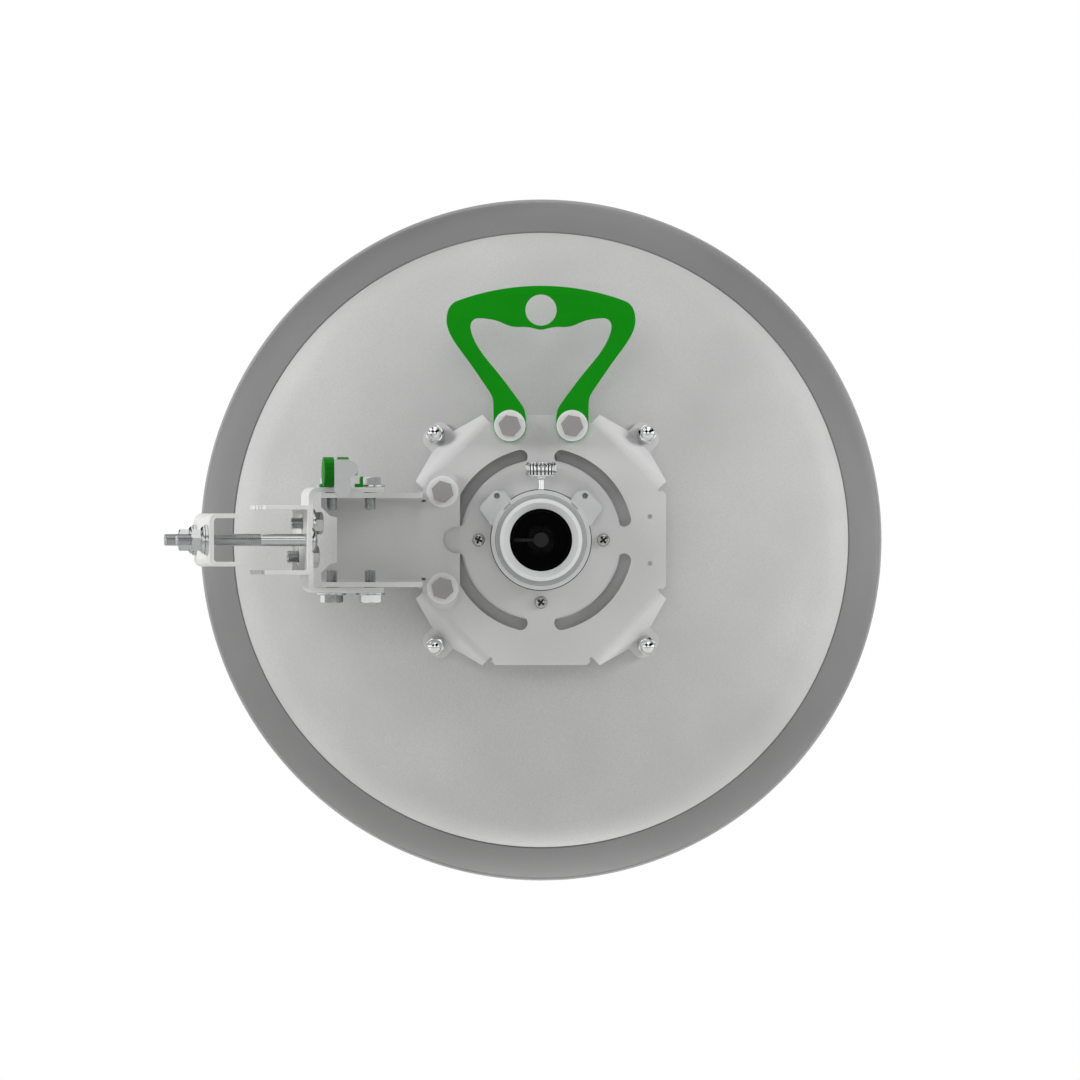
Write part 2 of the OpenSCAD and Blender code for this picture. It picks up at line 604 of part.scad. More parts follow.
module outer_jaw() {
    color("gainsboro") pole_frame() difference() {
        translate([outer_web, 0, 0]) channel(outer_tip - outer_web, 2 * outer_half, outer_t, 6.5, jaw_len);
        vee(pole_x - pole_d / 2 / sin(vee_half), 1);
        for (s = [-1, 1]) translate([0, s * rod_gap / 2, 0]) {
            for (d = [-3.5, 3.5]) translate([0, d, 0]) cyl_x(rod_r + 0.4, outer_web - 1, outer_web + 6);
            block([outer_web - 1, -3.5, -rod_r - 0.4], [outer_web + 6, 3.5, rod_r + 0.4]);
        }
    }
}
module jaw_washers() {
    color("lightgray") pole_frame() for (s = [-1, 1]) translate([0, s * rod_gap / 2, 0])
        ring_x(12.25, rod_r + 0.3, outer_web - 2.6, outer_web - 0.1);
}
module flange_nuts() {
    color("silver") pole_frame() for (s = [-1, 1]) translate([0, s * rod_gap / 2, 0]) difference() {
        union() {
            cyl_x(11, outer_web - 4.9, outer_web - 2.7);
            rotate([20, 0, 0]) hex_x(m10_af, outer_web - 13.8, outer_web - 4.8);
        }
        cyl_x(rod_r + fit, outer_web - 16, outer_web);
    }
}

reflector();
shroud();
rim_hoop();
radome();
hub_plate();
hub_studs();
stud_washers();
dome_nuts();
feed_hub();
feed_flange();
port_seal();
feed_pin();
feed_tube();
feed_cone();
subreflector();
port_screws();
lock_ring();
thumb_collar();
thumb_screw();
handle();
handle_bolts();
handle_washers();
hub_nuts();
arm();
arm_bolts();
arm_washers();
arm_bushes();
azimuth_pivot_bolts();
azimuth_lock_bolts();
azimuth_washers();
drive_pin();
u_bracket();
adjuster_frame();
index_strip();
adjuster_nut();
thrust_washer();
adjuster_wheel();
adjuster_screw();
inner_jaw();
jaw_bushes();
elevation_bolts();
elevation_washers();
carriage_bolts();
outer_jaw();
jaw_washers();
flange_nuts();
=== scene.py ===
import json
import math

import bmesh
import bpy
import numpy as np
from mathutils import Matrix, Vector

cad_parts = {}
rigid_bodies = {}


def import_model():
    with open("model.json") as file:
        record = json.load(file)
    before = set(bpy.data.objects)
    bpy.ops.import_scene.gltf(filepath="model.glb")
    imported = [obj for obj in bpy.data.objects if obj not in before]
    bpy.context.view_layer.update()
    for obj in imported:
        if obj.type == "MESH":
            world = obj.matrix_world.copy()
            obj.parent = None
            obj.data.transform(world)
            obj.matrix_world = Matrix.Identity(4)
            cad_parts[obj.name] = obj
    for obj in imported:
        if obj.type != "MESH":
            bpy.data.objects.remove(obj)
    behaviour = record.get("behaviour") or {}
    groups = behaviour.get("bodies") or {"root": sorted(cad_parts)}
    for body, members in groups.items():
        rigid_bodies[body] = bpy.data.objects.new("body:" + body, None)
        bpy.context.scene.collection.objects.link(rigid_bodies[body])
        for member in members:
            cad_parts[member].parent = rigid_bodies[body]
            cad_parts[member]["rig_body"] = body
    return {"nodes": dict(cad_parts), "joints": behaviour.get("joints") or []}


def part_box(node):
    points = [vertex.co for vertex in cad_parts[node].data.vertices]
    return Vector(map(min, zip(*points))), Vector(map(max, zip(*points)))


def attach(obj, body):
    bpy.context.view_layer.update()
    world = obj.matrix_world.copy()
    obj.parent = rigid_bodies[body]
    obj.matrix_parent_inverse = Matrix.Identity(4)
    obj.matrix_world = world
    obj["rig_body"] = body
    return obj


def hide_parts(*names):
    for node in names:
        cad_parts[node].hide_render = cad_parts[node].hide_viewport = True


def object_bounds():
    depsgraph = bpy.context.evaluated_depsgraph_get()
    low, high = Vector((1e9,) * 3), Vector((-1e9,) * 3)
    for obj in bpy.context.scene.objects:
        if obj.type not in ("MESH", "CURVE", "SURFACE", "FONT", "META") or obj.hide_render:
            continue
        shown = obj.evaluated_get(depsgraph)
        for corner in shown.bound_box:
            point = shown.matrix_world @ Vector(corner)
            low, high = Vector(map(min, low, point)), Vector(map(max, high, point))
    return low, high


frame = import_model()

cad_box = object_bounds()

# Camera: a level view along the boresight from behind the dish, without perspective, the way
# a maker's catalogue shows the back. The frame is wider than the rim by the margin below.
frame_margin = 1.586
camera_x, camera_distance = -0.0008, 1.5
rim_low, rim_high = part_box("rim_hoop")
lens = bpy.data.cameras.new("camera")
lens.type = "ORTHO"
lens.ortho_scale = (rim_high.x - rim_low.x) * frame_margin
camera = bpy.data.objects.new("camera", lens)
camera.location = (camera_x, cad_box[0].y - camera_distance, 0)
camera.rotation_euler = (math.pi / 2, 0, 0)
bpy.context.scene.collection.objects.link(camera)
bpy.context.scene.camera = camera

# Reflector: a bowl spun from 2 mm aluminium sheet over a former, flat in the middle where the
# port stands, a paraboloid out to its rolled shoulder, then powder coated light grey.
mm = 0.001
turn = 2 * math.pi
boresight = Matrix.Rotation(-math.pi / 2, 4, "X")   # turns a shape's own Z to +Y, into the dish
rearward = Matrix.Rotation(math.pi / 2, 4, "X")     # turns a shape's own Z to -Y, away from it


def linear(code):
    """Linear colour of an sRGB hex code: c / 12.92 when dark, else ((c + 0.055) / 1.055) ** 2.4."""
    c = np.array([int(code[i:i + 2], 16) for i in (1, 3, 5)]) / 255
    return (*np.where(c < 0.04045, c / 12.92, ((c + 0.055) / 1.055) ** 2.4), 1)


def add(tree, kind, inputs, **settings):
    """Adds a shader node. Inputs are its sockets' values, or the output sockets linked to them."""
    node = tree.nodes.new("ShaderNode" + kind)
    for name, value in settings.items():
        setattr(node, name, value)
    for name, value in inputs.items():
        if isinstance(value, bpy.types.NodeSocket):
            tree.links.new(value, node.inputs[name])
        else:
            node.inputs[name].default_value = value
    return node


def finish(name, **sockets):
    """A new material with its main shader's constant sockets set: (material, tree, place, shader)."""
    material = bpy.data.materials.new(name)
    material.use_nodes = True
    tree = material.node_tree
    shader = tree.nodes["Principled BSDF"]
    for socket, value in sockets.items():
        shader.inputs[socket.replace("_", " ")].default_value = value
    return material, tree, add(tree, "TexCoord", {}).outputs["Object"], shader


def noise(tree, place, width, detail):
    """Cloudy noise whose patches are about `width` mm across: its scale is 1 / width."""
    return add(tree, "TexNoise", {"Vector": place, "Scale": 1 / (width * mm), "Detail": detail})


def between(tree, share, deep, pale):
    """The colour that lies `share` of the way from the deep tint to the pale one."""
    return add(tree, "Mix", {0: share.outputs[0], 6: linear(deep), 7: linear(pale)}, data_type="RGBA")


def wire(tree, shader, tint, bump, gloss=None):
    """Links the tint, the bump and, when there is one, the roughness to the main shader."""
    tree.links.new(tint.outputs[2], shader.inputs["Base Color"])
    if gloss:
        tree.links.new(gloss.outputs[0], shader.inputs["Roughness"])
    tree.links.new(bump.outputs[0], shader.inputs["Normal"])


def powder_coat(name, pale, deep, grain, orange_peel, roughness, specular=0.3):
    """Baked polyester powder: specks as wide as `grain`, over an orange-peel swell, both in mm.
    The specks and a wide cloud carry the tint, specks and swell the bump, the specks the gloss.
    A low `specular` keeps a deep colour from being veiled by pale reflections."""
    material, tree, place, shader = finish(name, Specular_IOR_Level=specular)
    speck = noise(tree, place, grain, 2.0)
    swell = noise(tree, place, orange_peel, 1.0)
    cloud = noise(tree, place, 110, 2.0)
    amount = add(tree, "Math", {0: cloud.outputs[0], 1: speck.outputs[0]}, operation="MULTIPLY")
    spread = add(tree, "MapRange", {0: amount.outputs[0], 1: 0.1, 2: 0.42, 3: 0.0, 4: 1.0})
    tint = between(tree, spread, deep, pale)
    height = add(tree, "Math", {0: swell.outputs[0], 1: 1.6, 2: speck.outputs[0]},
                 operation="MULTIPLY_ADD")
    bump = add(tree, "Bump", {"Height": height.outputs[0], "Strength": 0.35, "Distance": 0.05 * mm})
    gloss = add(tree, "MapRange", {0: speck.outputs[0], 1: 0.3, 2: 0.7, 3: roughness - 0.06,
                                   4: roughness + 0.06})
    wire(tree, shader, tint, bump, gloss)
    return material


def turned(profile, columns=96):
    """A profile [radius, along] in mm carried round Z: x = r cos a, y = r sin a, z = along."""
    radius, along = np.asarray(profile, float).T
    angle = np.linspace(0, turn, columns, endpoint=False)
    return np.stack([np.outer(radius, np.cos(angle)), np.outer(radius, np.sin(angle)),
                     np.repeat(along[:, None], columns, 1)], -1)


def rolled(start, slope, end_slope, end_radius, steps=20):
    """An arc that leaves start at one slope and meets end_radius at another, in degrees:
    its own radius is the width it spans over sin(end) - sin(start)."""
    a = np.radians(np.linspace(slope, end_slope, steps))
    rho = (end_radius - start[0]) / (np.sin(a[-1]) - np.sin(a[0]))
    return start + rho * np.stack([np.sin(a) - np.sin(a[0]), np.cos(a[0]) - np.cos(a)], -1)


def walled(curve, thickness):
    """A closed profile: the curve, then the same curve moved along its normal, run backwards."""
    along = np.gradient(curve, axis=0)
    normal = np.stack([-along[:, 1], along[:, 0]], -1) / np.linalg.norm(along, axis=1)[:, None]
    return np.concatenate([curve, (curve + normal * thickness)[::-1]])


def placed(grid, matrix):
    """A grid in mm, scaled to metres and put where the matrix says."""
    m = np.array(matrix)
    return grid * mm @ m[:3, :3].T + m[:3, 3]


def show(name, mesh, material, sharp=40):
    """An object of the mesh, smooth except along edges sharper than `sharp` degrees."""
    mesh.polygons.foreach_set("use_smooth", np.ones(len(mesh.polygons), bool))
    mesh.set_sharp_from_angle(angle=math.radians(sharp))
    mesh.materials.clear()
    mesh.materials.append(material)
    piece = bpy.data.objects.new(name, mesh)
    bpy.context.scene.collection.objects.link(piece)
    return piece


def assemble(name, grids, material, sharp=40):
    """One mesh of closed shells. A grid that starts in a point runs from pole to pole, and any
    other closes on its last row. Its columns always close."""
    points, faces, first = [], [], 0
    for grid in grids:
        rows, columns = grid.shape[:2]
        number = np.arange(rows * columns).reshape(rows, columns) + first
        low, high = number[:-1], number[1:]
        if np.ptp(grid[0], 0).max() > 1e-7:
            low, high = number, np.roll(number, -1, 0)
        faces.append(np.stack([low, np.roll(low, -1, 1), np.roll(high, -1, 1), high], -1).reshape(-1, 4))
        points.append(grid.reshape(-1, 3))
        first += rows * columns
    mesh = bpy.data.meshes.new(name)
    mesh.from_pydata(np.concatenate(points).tolist(), [], np.concatenate(faces).tolist())
    skin = bmesh.new()
    skin.from_mesh(mesh)
    bmesh.ops.remove_doubles(skin, verts=skin.verts, dist=1e-7)
    bmesh.ops.recalc_face_normals(skin, faces=skin.faces)
    skin.to_mesh(mesh)
    skin.free()
    return show(name, mesh, material, sharp)


def stand_for(piece, *nodes):
    """The piece rides on the body of the CAD nodes it stands for, which are hidden."""
    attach(piece, frame["nodes"][nodes[0]]["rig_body"])
    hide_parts(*nodes)
    return piece


around = 256                      # columns round the dish, the skirt, the rim and the radome
focal = 192
sheet = 2
hole_r, flat_end_r, flat_r, bowl_r, shoulder_r = 29, 36, 44, 228, 248
step_in = 2.5                     # the bowl's vertex lies this far behind the flat in the middle
shoulder_slope = 75
dish_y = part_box("reflector")[0].y / mm


def dish_back(r):
    """Height of the bowl's back over the port's mouth: its vertex plus r squared over 4 f."""
    return dish_y - step_in + r ** 2 / (4 * focal)


bowl_radii = np.linspace(flat_r, bowl_r, 72)
bowl = np.stack([bowl_radii, dish_back(bowl_radii)], -1)
bowl_slope = math.degrees(math.atan(bowl_r / (2 * focal)))
shoulder = rolled(bowl[-1], bowl_slope, shoulder_slope, shoulder_r)
reflector_back = np.concatenate([[[hole_r, dish_y], [flat_end_r, dish_y]], bowl, shoulder[1:]])
dish_paint = powder_coat("light_grey_powder_coat_on_aluminium", "#cececd", "#bababa", 0.9, 2.4, 0.5)
reflector_sheet = placed(turned(walled(reflector_back, sheet), around), boresight)
stand_for(assemble("reflector_bowl", [reflector_sheet], dish_paint), "reflector")

# Shroud: the skirt is a second ring of spun sheet, riveted under the bowl's shoulder and flared
# forward to the rim, which shields the feed from the side. It is coated in a darker grey.
skirt_low, skirt_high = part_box("shroud")
skirt_r, skirt_start_y, skirt_end_y = skirt_high.x / mm, skirt_low.y / mm, skirt_high.y / mm
lap_r, lap_end_r, flare_r = 238, 244, 249.2
flare_slope, rim_slope, straight = 50, 84, 10
skirt = np.concatenate([[[lap_r, skirt_start_y], [lap_end_r, skirt_start_y]],
                        rolled(np.array([flare_r, skirt_start_y]), flare_slope, rim_slope, skirt_r, 40),
                        [[skirt_r, skirt_end_y - straight], [skirt_r, skirt_end_y]]])
skirt_paint = powder_coat("grey_powder_coat_on_skirt", "#848484", "#797979", 0.9, 2.4, 0.5)
skirt_sheet = placed(turned(walled(skirt, sheet), around), boresight)
stand_for(assemble("skirt_ring", [skirt_sheet], skirt_paint), "shroud")

# Rim hoop: the skirt's front edge is rolled over a wire, which stiffens it and holds the radome.
# It is coated a shade paler than the skirt, so the edge of the antenna shows against a dark wall.
hoop_r = (rim_high.y - rim_low.y) / 2 / mm
hoop_angle = np.linspace(0, turn, 24, endpoint=False)
hoop_profile = np.stack([rim_high.x / mm - hoop_r + hoop_r * np.cos(hoop_angle),
                         rim_low.y / mm + hoop_r + hoop_r * np.sin(hoop_angle)], -1)
rim_paint = powder_coat("pale_powder_coat_on_rim", "#a9a9a9", "#9a9a9a", 0.9, 2.4, 0.45)
rim_bead = placed(turned(hoop_profile, around), boresight)
stand_for(assemble("rim_bead", [rim_bead], rim_paint), "rim_hoop")


# Radome: a shallow dome of glass-fibre laminate that lets the signal through and keeps the
# weather out. It is pressed in a mould, so its outside has a fine woven print under the gel coat.
half_waves = 6.3                  # a wave texture of scale 1 has about this many in a metre


def radome_skin(name, pale, deep, weave):
    """Gel coat over woven glass: two crossed waves, `weave` mm from crest to trough, in the bump,
    and a faint mottle in the tint."""
    material, tree, place, shader = finish(name, Roughness=0.42, Specular_IOR_Level=0.4)
    thread = {"Vector": place, "Scale": 1 / (weave * mm) / half_waves, "Distortion": 0.4}
    warp = add(tree, "TexWave", thread, bands_direction="X")
    weft = add(tree, "TexWave", thread, bands_direction="Z")
    cloth = add(tree, "Math", {0: warp.outputs[1], 1: weft.outputs[1]}, operation="ADD")
    tint = between(tree, noise(tree, place, 35, 4.0), deep, pale)
    bump = add(tree, "Bump", {"Height": cloth.outputs[0], "Strength": 0.12, "Distance": 0.1 * mm})
    wire(tree, shader, tint, bump)
    return material


radome_edge = skirt_r - 3
radome_foot = skirt_end_y + 4
radome_rise, radome_wall = 16, 3
dome_angle = np.radians(np.linspace(90, 0, 48))
dome = np.stack([radome_edge * np.cos(dome_angle),
                 radome_foot + radome_rise * np.sin(dome_angle) ** 2], -1)
dome[0, 0] = 0
radome_profile = np.concatenate([dome, (dome - [0, radome_wall])[::-1]])
radome_finish = radome_skin("glass_fibre_radome_gel_coat", "#e6e6e3", "#dcdcd9", 2.0)
radome_shell = placed(turned(radome_profile, around), boresight)
stand_for(assemble("radome_dome", [radome_shell], radome_finish), "radome")


# Hub plate: 3 mm steel sheet, laser cut with four curved slots, its four corners bent forward
# into legs that stand on the bowl. Cut edges are tumbled round before the powder coat.
def from_cad(name, node, material, edge, sharp=50):
    """A copy of a CAD node: its loose triangles merged, flat faces joined, and each edge sharper
    than 30 degrees rounded by `edge` mm. Normals are weighted by area, so flat faces stay flat."""
    mesh = frame["nodes"][node].data.copy()
    for layer in [a.name for a in mesh.attributes if a.name == "custom_normal"]:
        mesh.attributes.remove(mesh.attributes[layer])
    body = bmesh.new()
    body.from_mesh(mesh)
    bmesh.ops.remove_doubles(body, verts=body.verts, dist=2e-6)
    bmesh.ops.dissolve_limit(body, angle_limit=math.radians(0.5), verts=body.verts, edges=body.edges)
    corners = [e for e in body.edges if e.is_manifold and e.calc_face_angle() > math.radians(30)]
    bmesh.ops.bevel(body, geom=corners, offset=edge * mm, offset_type="OFFSET", segments=2,
                    profile=0.5, affect="EDGES", clamp_overlap=True)
    bmesh.ops.triangulate(body, faces=[f for f in body.faces if len(f.verts) > 4])
    body.to_mesh(mesh)
    body.free()
    piece = show(name, mesh, material, sharp)
    weighted = piece.modifiers.new("area_weighted_normals", "WEIGHTED_NORMAL")
    weighted.keep_sharp = True
    return stand_for(piece, node)


plate_paint = powder_coat("light_grey_powder_coat_on_steel", "#dadad9", "#cdcdcd", 0.8, 2.0, 0.48)
from_cad("hub_sheet", "hub_plate", plate_paint, 0.35)


# Corner fasteners: M8 studs welded to the bowl pass through the legs' tabs. Each carries a small
# washer, bright zinc, and a domed nut, polished and chromium plated, so that nothing snags.
def plated(name, pale, deep, smooth, rough, cloud, scratch, metallic=1.0):
    """Plated or bare metal: a cloudy tint and roughness, `cloud` mm across, and tool marks
    `scratch` mm apart that only the bump carries. A dull, passivated or blasted surface scatters
    light like a paint, so its `metallic` share is low."""
    material, tree, place, shader = finish(name, Metallic=metallic)
    patch = noise(tree, place, cloud, 3.0)
    marks = noise(tree, place, scratch, 2.0)
    tint = between(tree, patch, deep, pale)
    gloss = add(tree, "MapRange", {0: patch.outputs[0], 1: 0.3, 2: 0.7, 3: smooth, 4: rough})
    bump = add(tree, "Bump", {"Height": marks.outputs[0], "Strength": 0.08, "Distance": 0.02 * mm})
    wire(tree, shader, tint, bump, gloss)
    return material


zinc = plated("bright_zinc_plate_on_steel", "#cfd1d1", "#bcbfbf", 0.12, 0.22, 5, 0.5)
zinc_matt = plated("passivated_zinc_on_stamped_steel", "#f3f4f4", "#eaebeb", 0.55, 0.68, 6, 0.5, 0.1)
chrome = plated("polished_chromium_plate", "#f0f1f1", "#e2e4e4", 0.05, 0.12, 6, 0.8)


def eased(corners, reach, steps=4):
    """A polygon with each corner turned into a short parabola arc from `reach` before it to
    `reach` after it. An outline that starts on the axis keeps both of its ends."""
    corners = np.asarray(corners, float)
    before, after = np.roll(corners, 1, 0) - corners, np.roll(corners, -1, 0) - corners
    sides = np.linalg.norm(before, axis=1), np.linalg.norm(after, axis=1)
    room = np.minimum(reach, 0.45 * np.minimum(*sides))
    if corners[0, 0] == 0:
        room[[0, -1]] = 0
    start = corners + before * (room / sides[0])[:, None]
    end = corners + after * (room / sides[1])[:, None]
    t = np.linspace(0, 1, steps)[:, None, None]
    arcs = (1 - t) ** 2 * start + 2 * t * (1 - t) * corners + t ** 2 * end
    return arcs.transpose(1, 0, 2).reshape(-1, 2)


def washer(outer, inner, low, high, columns=64):
    """A flat ring between two heights, its edges eased by a stamping's 0.25 mm."""
    return turned(eased([[inner, low], [outer, low], [outer, high], [inner, high]], 0.25), columns)


def hexagon(flats, low, high, both=False, crown=0.47):
    """A hexagon bar between two heights: at angle a its side is flats / 2 / cos(a mod 60 - 30) away,
    and a corner lies on X. A 30 degree cone cuts back its top, and its foot too when `both` is set.
    It leaves a face of radius crown * flats, or the hexagon less 0.3 mm where that is smaller."""
    angle = np.linspace(0, turn, 96, endpoint=False)
    side = flats / 2 / np.cos(angle % (turn / 6) - turn / 12)
    face = np.minimum(side - 0.3, crown * flats)
    drop = (side - face) * math.tan(math.radians(30))
    radius = np.stack([0 * side, face, side, side, face, 0 * side])
    low_drop = drop if both else 0 * drop
    height = np.stack([0 * side + low, 0 * side + low, low + low_drop, high - drop, 0 * side + high,
                       0 * side + high])
    return np.stack([radius * np.cos(angle), radius * np.sin(angle), height], -1)


def rod(radius, low, high, thread, pitch=1.5, columns=40):
    """A bar with a cut thread between the two heights of `thread`: the depth is 0.6 pitches times
    a clipped triangle wave of height / pitch - angle / turn. Both ends have a 45 degree chamfer."""
    angle = np.linspace(0, turn, columns, endpoint=False)
    height = np.linspace(low, high, int(8 * (high - low) / pitch) + 2)[:, None]
    phase = (height / pitch - angle / turn) % 1
    wave = np.clip(1.25 * abs(2 * phase - 1) - 0.125, 0, 1)
    cut = (height > thread[0]) & (height < thread[1])
    radii = radius - 0.6 * pitch * wave * cut
    chamfer = radius - 0.7 * pitch + np.minimum(height - low, high - height)
    radii = np.minimum(radii, chamfer)
    body = np.stack([radii * np.cos(angle), radii * np.sin(angle), height + 0 * angle], -1)
    ends = np.zeros((1, columns, 3))
    return np.concatenate([ends + [0, 0, low], body, ends + [0, 0, high]])


tab_u = 118
tab_slope = math.atan(tab_u / (2 * focal))
hub_sheet_t = 3
nut_seat = hub_sheet_t + 1.85
nut_height, nut_flats, dome_r = 6.5, 13, 6.1
dome_foot, dome_seat = nut_seat + 5, nut_seat + 8.5
stud_r, stud_top, stud_washer_r = 3.9, 13, 6.6
corner_places = [Matrix.Rotation(math.radians(45 + 90 * k), 4, "Y")
                 @ Matrix.Translation(Vector((tab_u, dish_back(tab_u), 0)) * mm)
                 @ Matrix.Rotation(tab_slope, 4, "Z") @ rearward for k in range(4)]
crown = np.radians(np.linspace(0, 90, 14))
acorn = np.concatenate([[[0, dome_foot], [dome_r - 0.3, dome_foot], [dome_r, dome_seat]],
                        np.stack([dome_r * np.cos(crown), dome_seat + dome_r * np.sin(crown)], -1)[1:]])
acorn[-1, 0] = 0
stud = rod(stud_r, 0.1, stud_top, (0, stud_top), 1.25)
stud_washer = washer(stud_washer_r, 4.3, nut_seat - 1.65, nut_seat - 0.05)
domed_nut = hexagon(nut_flats, nut_seat, nut_seat + nut_height, True), turned(acorn, 48)
for name, node, shells, material in (("corner_studs", "hub_studs", [stud], zinc),
                                     ("corner_washers", "stud_washers", [stud_washer], zinc),
                                     ("corner_domed_nuts", "dome_nuts", domed_nut, chrome)):
    grids = [placed(shell, place) for place in corner_places for shell in shells]
    stand_for(assemble(name, grids, material), node)

# Port: a chromated aluminium casting with a stepped mouth, clamped through the hub plate by a
# ring behind it. The flat lip has a paler tint, a painted highlight, and the step round it a darker
# tint, painted shade. The socket is anodised black, takes a radio's round spigot, and has a step near its
# floor for the seal.
cast = plated("chromated_cast_aluminium", "#dcdddd", "#d1d2d2", 0.5, 0.62, 9, 0.6, 0.25)


def anodised(name, pale, deep, pore, ring):
    """Anodised or darkened metal: fine pores in the tint and the gloss, and in the bump the rings
    of the turning, `ring` mm from crest to trough."""
    material, tree, place, shader = finish(name, Metallic=0.0, Specular_IOR_Level=0.04)
    pores = noise(tree, place, pore, 2.0)
    tint = between(tree, pores, deep, pale)
    rings = add(tree, "TexWave", {"Vector": place, "Scale": 1 / (ring * mm) / half_waves},
                wave_type="RINGS", rings_direction="Y")
    bump = add(tree, "Bump", {"Height": rings.outputs[1], "Strength": 0.1, "Distance": 0.02 * mm})
    gloss = add(tree, "MapRange", {0: pores.outputs[0], 3: 0.35, 4: 0.6})
    wire(tree, shader, tint, bump, gloss)
    return material


black_bore_and_gap_shade = anodised("black_anodised_bore_and_painted_gap_shade", "#020202", "#010101", 0.6, 0.5)
port_r, port_depth, barrel_r, seal_r = 25.2, 18, 36.6, 23.5
lip_r, lip_y, step_y = 33.3, -4, -2.5
spigot_r, tube_seat_r, tube_bore_r = 28, 14.1, 11.5
throat_r, throat_y, floor_r, floor_y = 15.3, 24, 22.2, 22
seat_r, seat_y = seal_r + 1.1, port_depth + 2.15
barrel_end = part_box("feed_hub")[1].y / mm
mouth = eased([[port_r, 0], [port_r + 5, lip_y], [lip_r, lip_y], [lip_r, step_y], [barrel_r, step_y],
               [barrel_r, dish_y - 0.1], [spigot_r, dish_y - 0.1], [spigot_r, barrel_end],
               [tube_seat_r, barrel_end], [tube_seat_r, dish_y], [tube_bore_r, dish_y],
               [tube_bore_r, throat_y], [throat_r, throat_y], [throat_r, floor_y], [floor_r, floor_y],
               [floor_r, seat_y], [seat_r, seat_y], [seat_r, port_depth], [port_r, port_depth]], 0.3)
barrel = assemble("port_barrel", [placed(turned(mouth, 192), boresight)], cast)
# Two tinted copies of the cast finish: the lip's paler tint is a painted highlight, the step's darker tint
# painted shade.
lip_painted_highlight = plated("cast_aluminium_lip_painted_highlight", "#eeefef", "#e6e7e7", 0.5, 0.62, 9, 0.6, 0.0)
step_painted_shade = plated("cast_aluminium_step_painted_shade", "#b3b4b4", "#a8a9a9", 0.5, 0.62, 9, 0.6, 0.2)
for material in (black_bore_and_gap_shade, lip_painted_highlight, step_painted_shade):
    barrel.data.materials.append(material)
centres = np.empty(len(barrel.data.polygons) * 3)
barrel.data.polygons.foreach_get("center", centres)
centres = centres.reshape(-1, 3) / mm
out, depth = np.hypot(centres[:, 0], centres[:, 2]), centres[:, 1]
inside = (out < port_r + 0.05) & (depth > 0.2)
lip = (out > port_r + 5.1) & (out < lip_r - 0.1) & (depth < lip_y + 0.5)
step = (out > lip_r + 0.1) & (out < barrel_r - 0.3) & (abs(depth - step_y) < 0.2)
barrel.data.polygons.foreach_set("material_index", (inside + 2 * lip + 3 * step).astype(np.int32))
stand_for(barrel, "feed_hub")

# Port flange: the ring behind the hub plate. Its rear face next to the barrel is painted black as
# painted shade, for the narrow gap round the lock ring, where that face shows.
flange_low, flange_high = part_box("feed_flange")
flange_r, flange_rear, flange_front = flange_high.x / mm, flange_low.y / mm, flange_high.y / mm
flange_hole_r, gap_shade_r = barrel_r + 0.1, 42.5
flange_profile = eased([[gap_shade_r, flange_rear], [flange_r, flange_rear], [flange_r, flange_front],
                        [flange_hole_r, flange_front], [flange_hole_r, flange_rear]], 0.25)
flange = assemble("port_flange", [placed(turned(flange_profile, 160), boresight)], cast)
# The bore's black material also paints the shade of the lock ring's gap on this face.
flange.data.materials.append(black_bore_and_gap_shade)
for face in flange.data.polygons:
    at_rear = face.center.y / mm < flange_rear + 0.2
    face.material_index = int(at_rear and math.hypot(face.center.x, face.center.z) / mm < gap_shade_r)
stand_for(flange, "feed_flange")


# Port internals: a rubber ring seals the spigot, and a straight probe that lies across the socket
# from a round foot picks up the signal. Both sit deep in the black, where little light finds them.
def rubber(name, pale, deep, bloom_width):
    """Moulded rubber: a matt black with a fine bloom that lifts its tint in patches."""
    material, tree, place, shader = finish(name, Roughness=0.7, Specular_IOR_Level=0.15)
    bloom = noise(tree, place, bloom_width, 3.0)
    bump = add(tree, "Bump", {"Height": bloom.outputs[0], "Strength": 0.2, "Distance": 0.05 * mm})
    wire(tree, shader, between(tree, bloom, deep, pale), bump)
    return material


seal_rubber = rubber("moulded_black_rubber", "#0e0e0f", "#0b0b0c", 1.5)
seal_angle = np.linspace(0, turn, 24, endpoint=False)
seal_y = port_depth + 1.08
seal = np.stack([seal_r + np.cos(seal_angle), seal_y + np.sin(seal_angle)], -1)
stand_for(assemble("port_seal_ring", [placed(turned(seal, 160), boresight)], seal_rubber), "port_seal")
# The probe's own dark metal; the same material paints shade in the screws' cross recesses and the knurl's
# valleys.
dark_probe_metal_and_painted_shade = anodised("dark_brass_probe_and_painted_recess_shade", "#4c4c4d", "#3d3d3e", 0.5, 0.4)
foot_rear, foot_front, probe_foot_r = 18.9, 21.9, 6.1
stem_x, stem_y, stem_length = -22, 19.9, 17
probe_foot = eased([[0, foot_rear], [probe_foot_r, foot_rear], [probe_foot_r, foot_front],
                    [0, foot_front]], 0.5)
probe_stem = np.array([[0, 0], [1.7, 0], [1.9, 0.3], [1.2, stem_length], [0, stem_length]])
stem_place = Matrix.Translation(Vector((stem_x, stem_y, 0)) * mm) @ Matrix.Rotation(math.pi / 2, 4, "Y")
stand_for(assemble("feed_probe", [placed(turned(probe_foot, 64), boresight),
                                  placed(turned(probe_stem, 32), stem_place)], dark_probe_metal_and_painted_shade), "feed_pin")

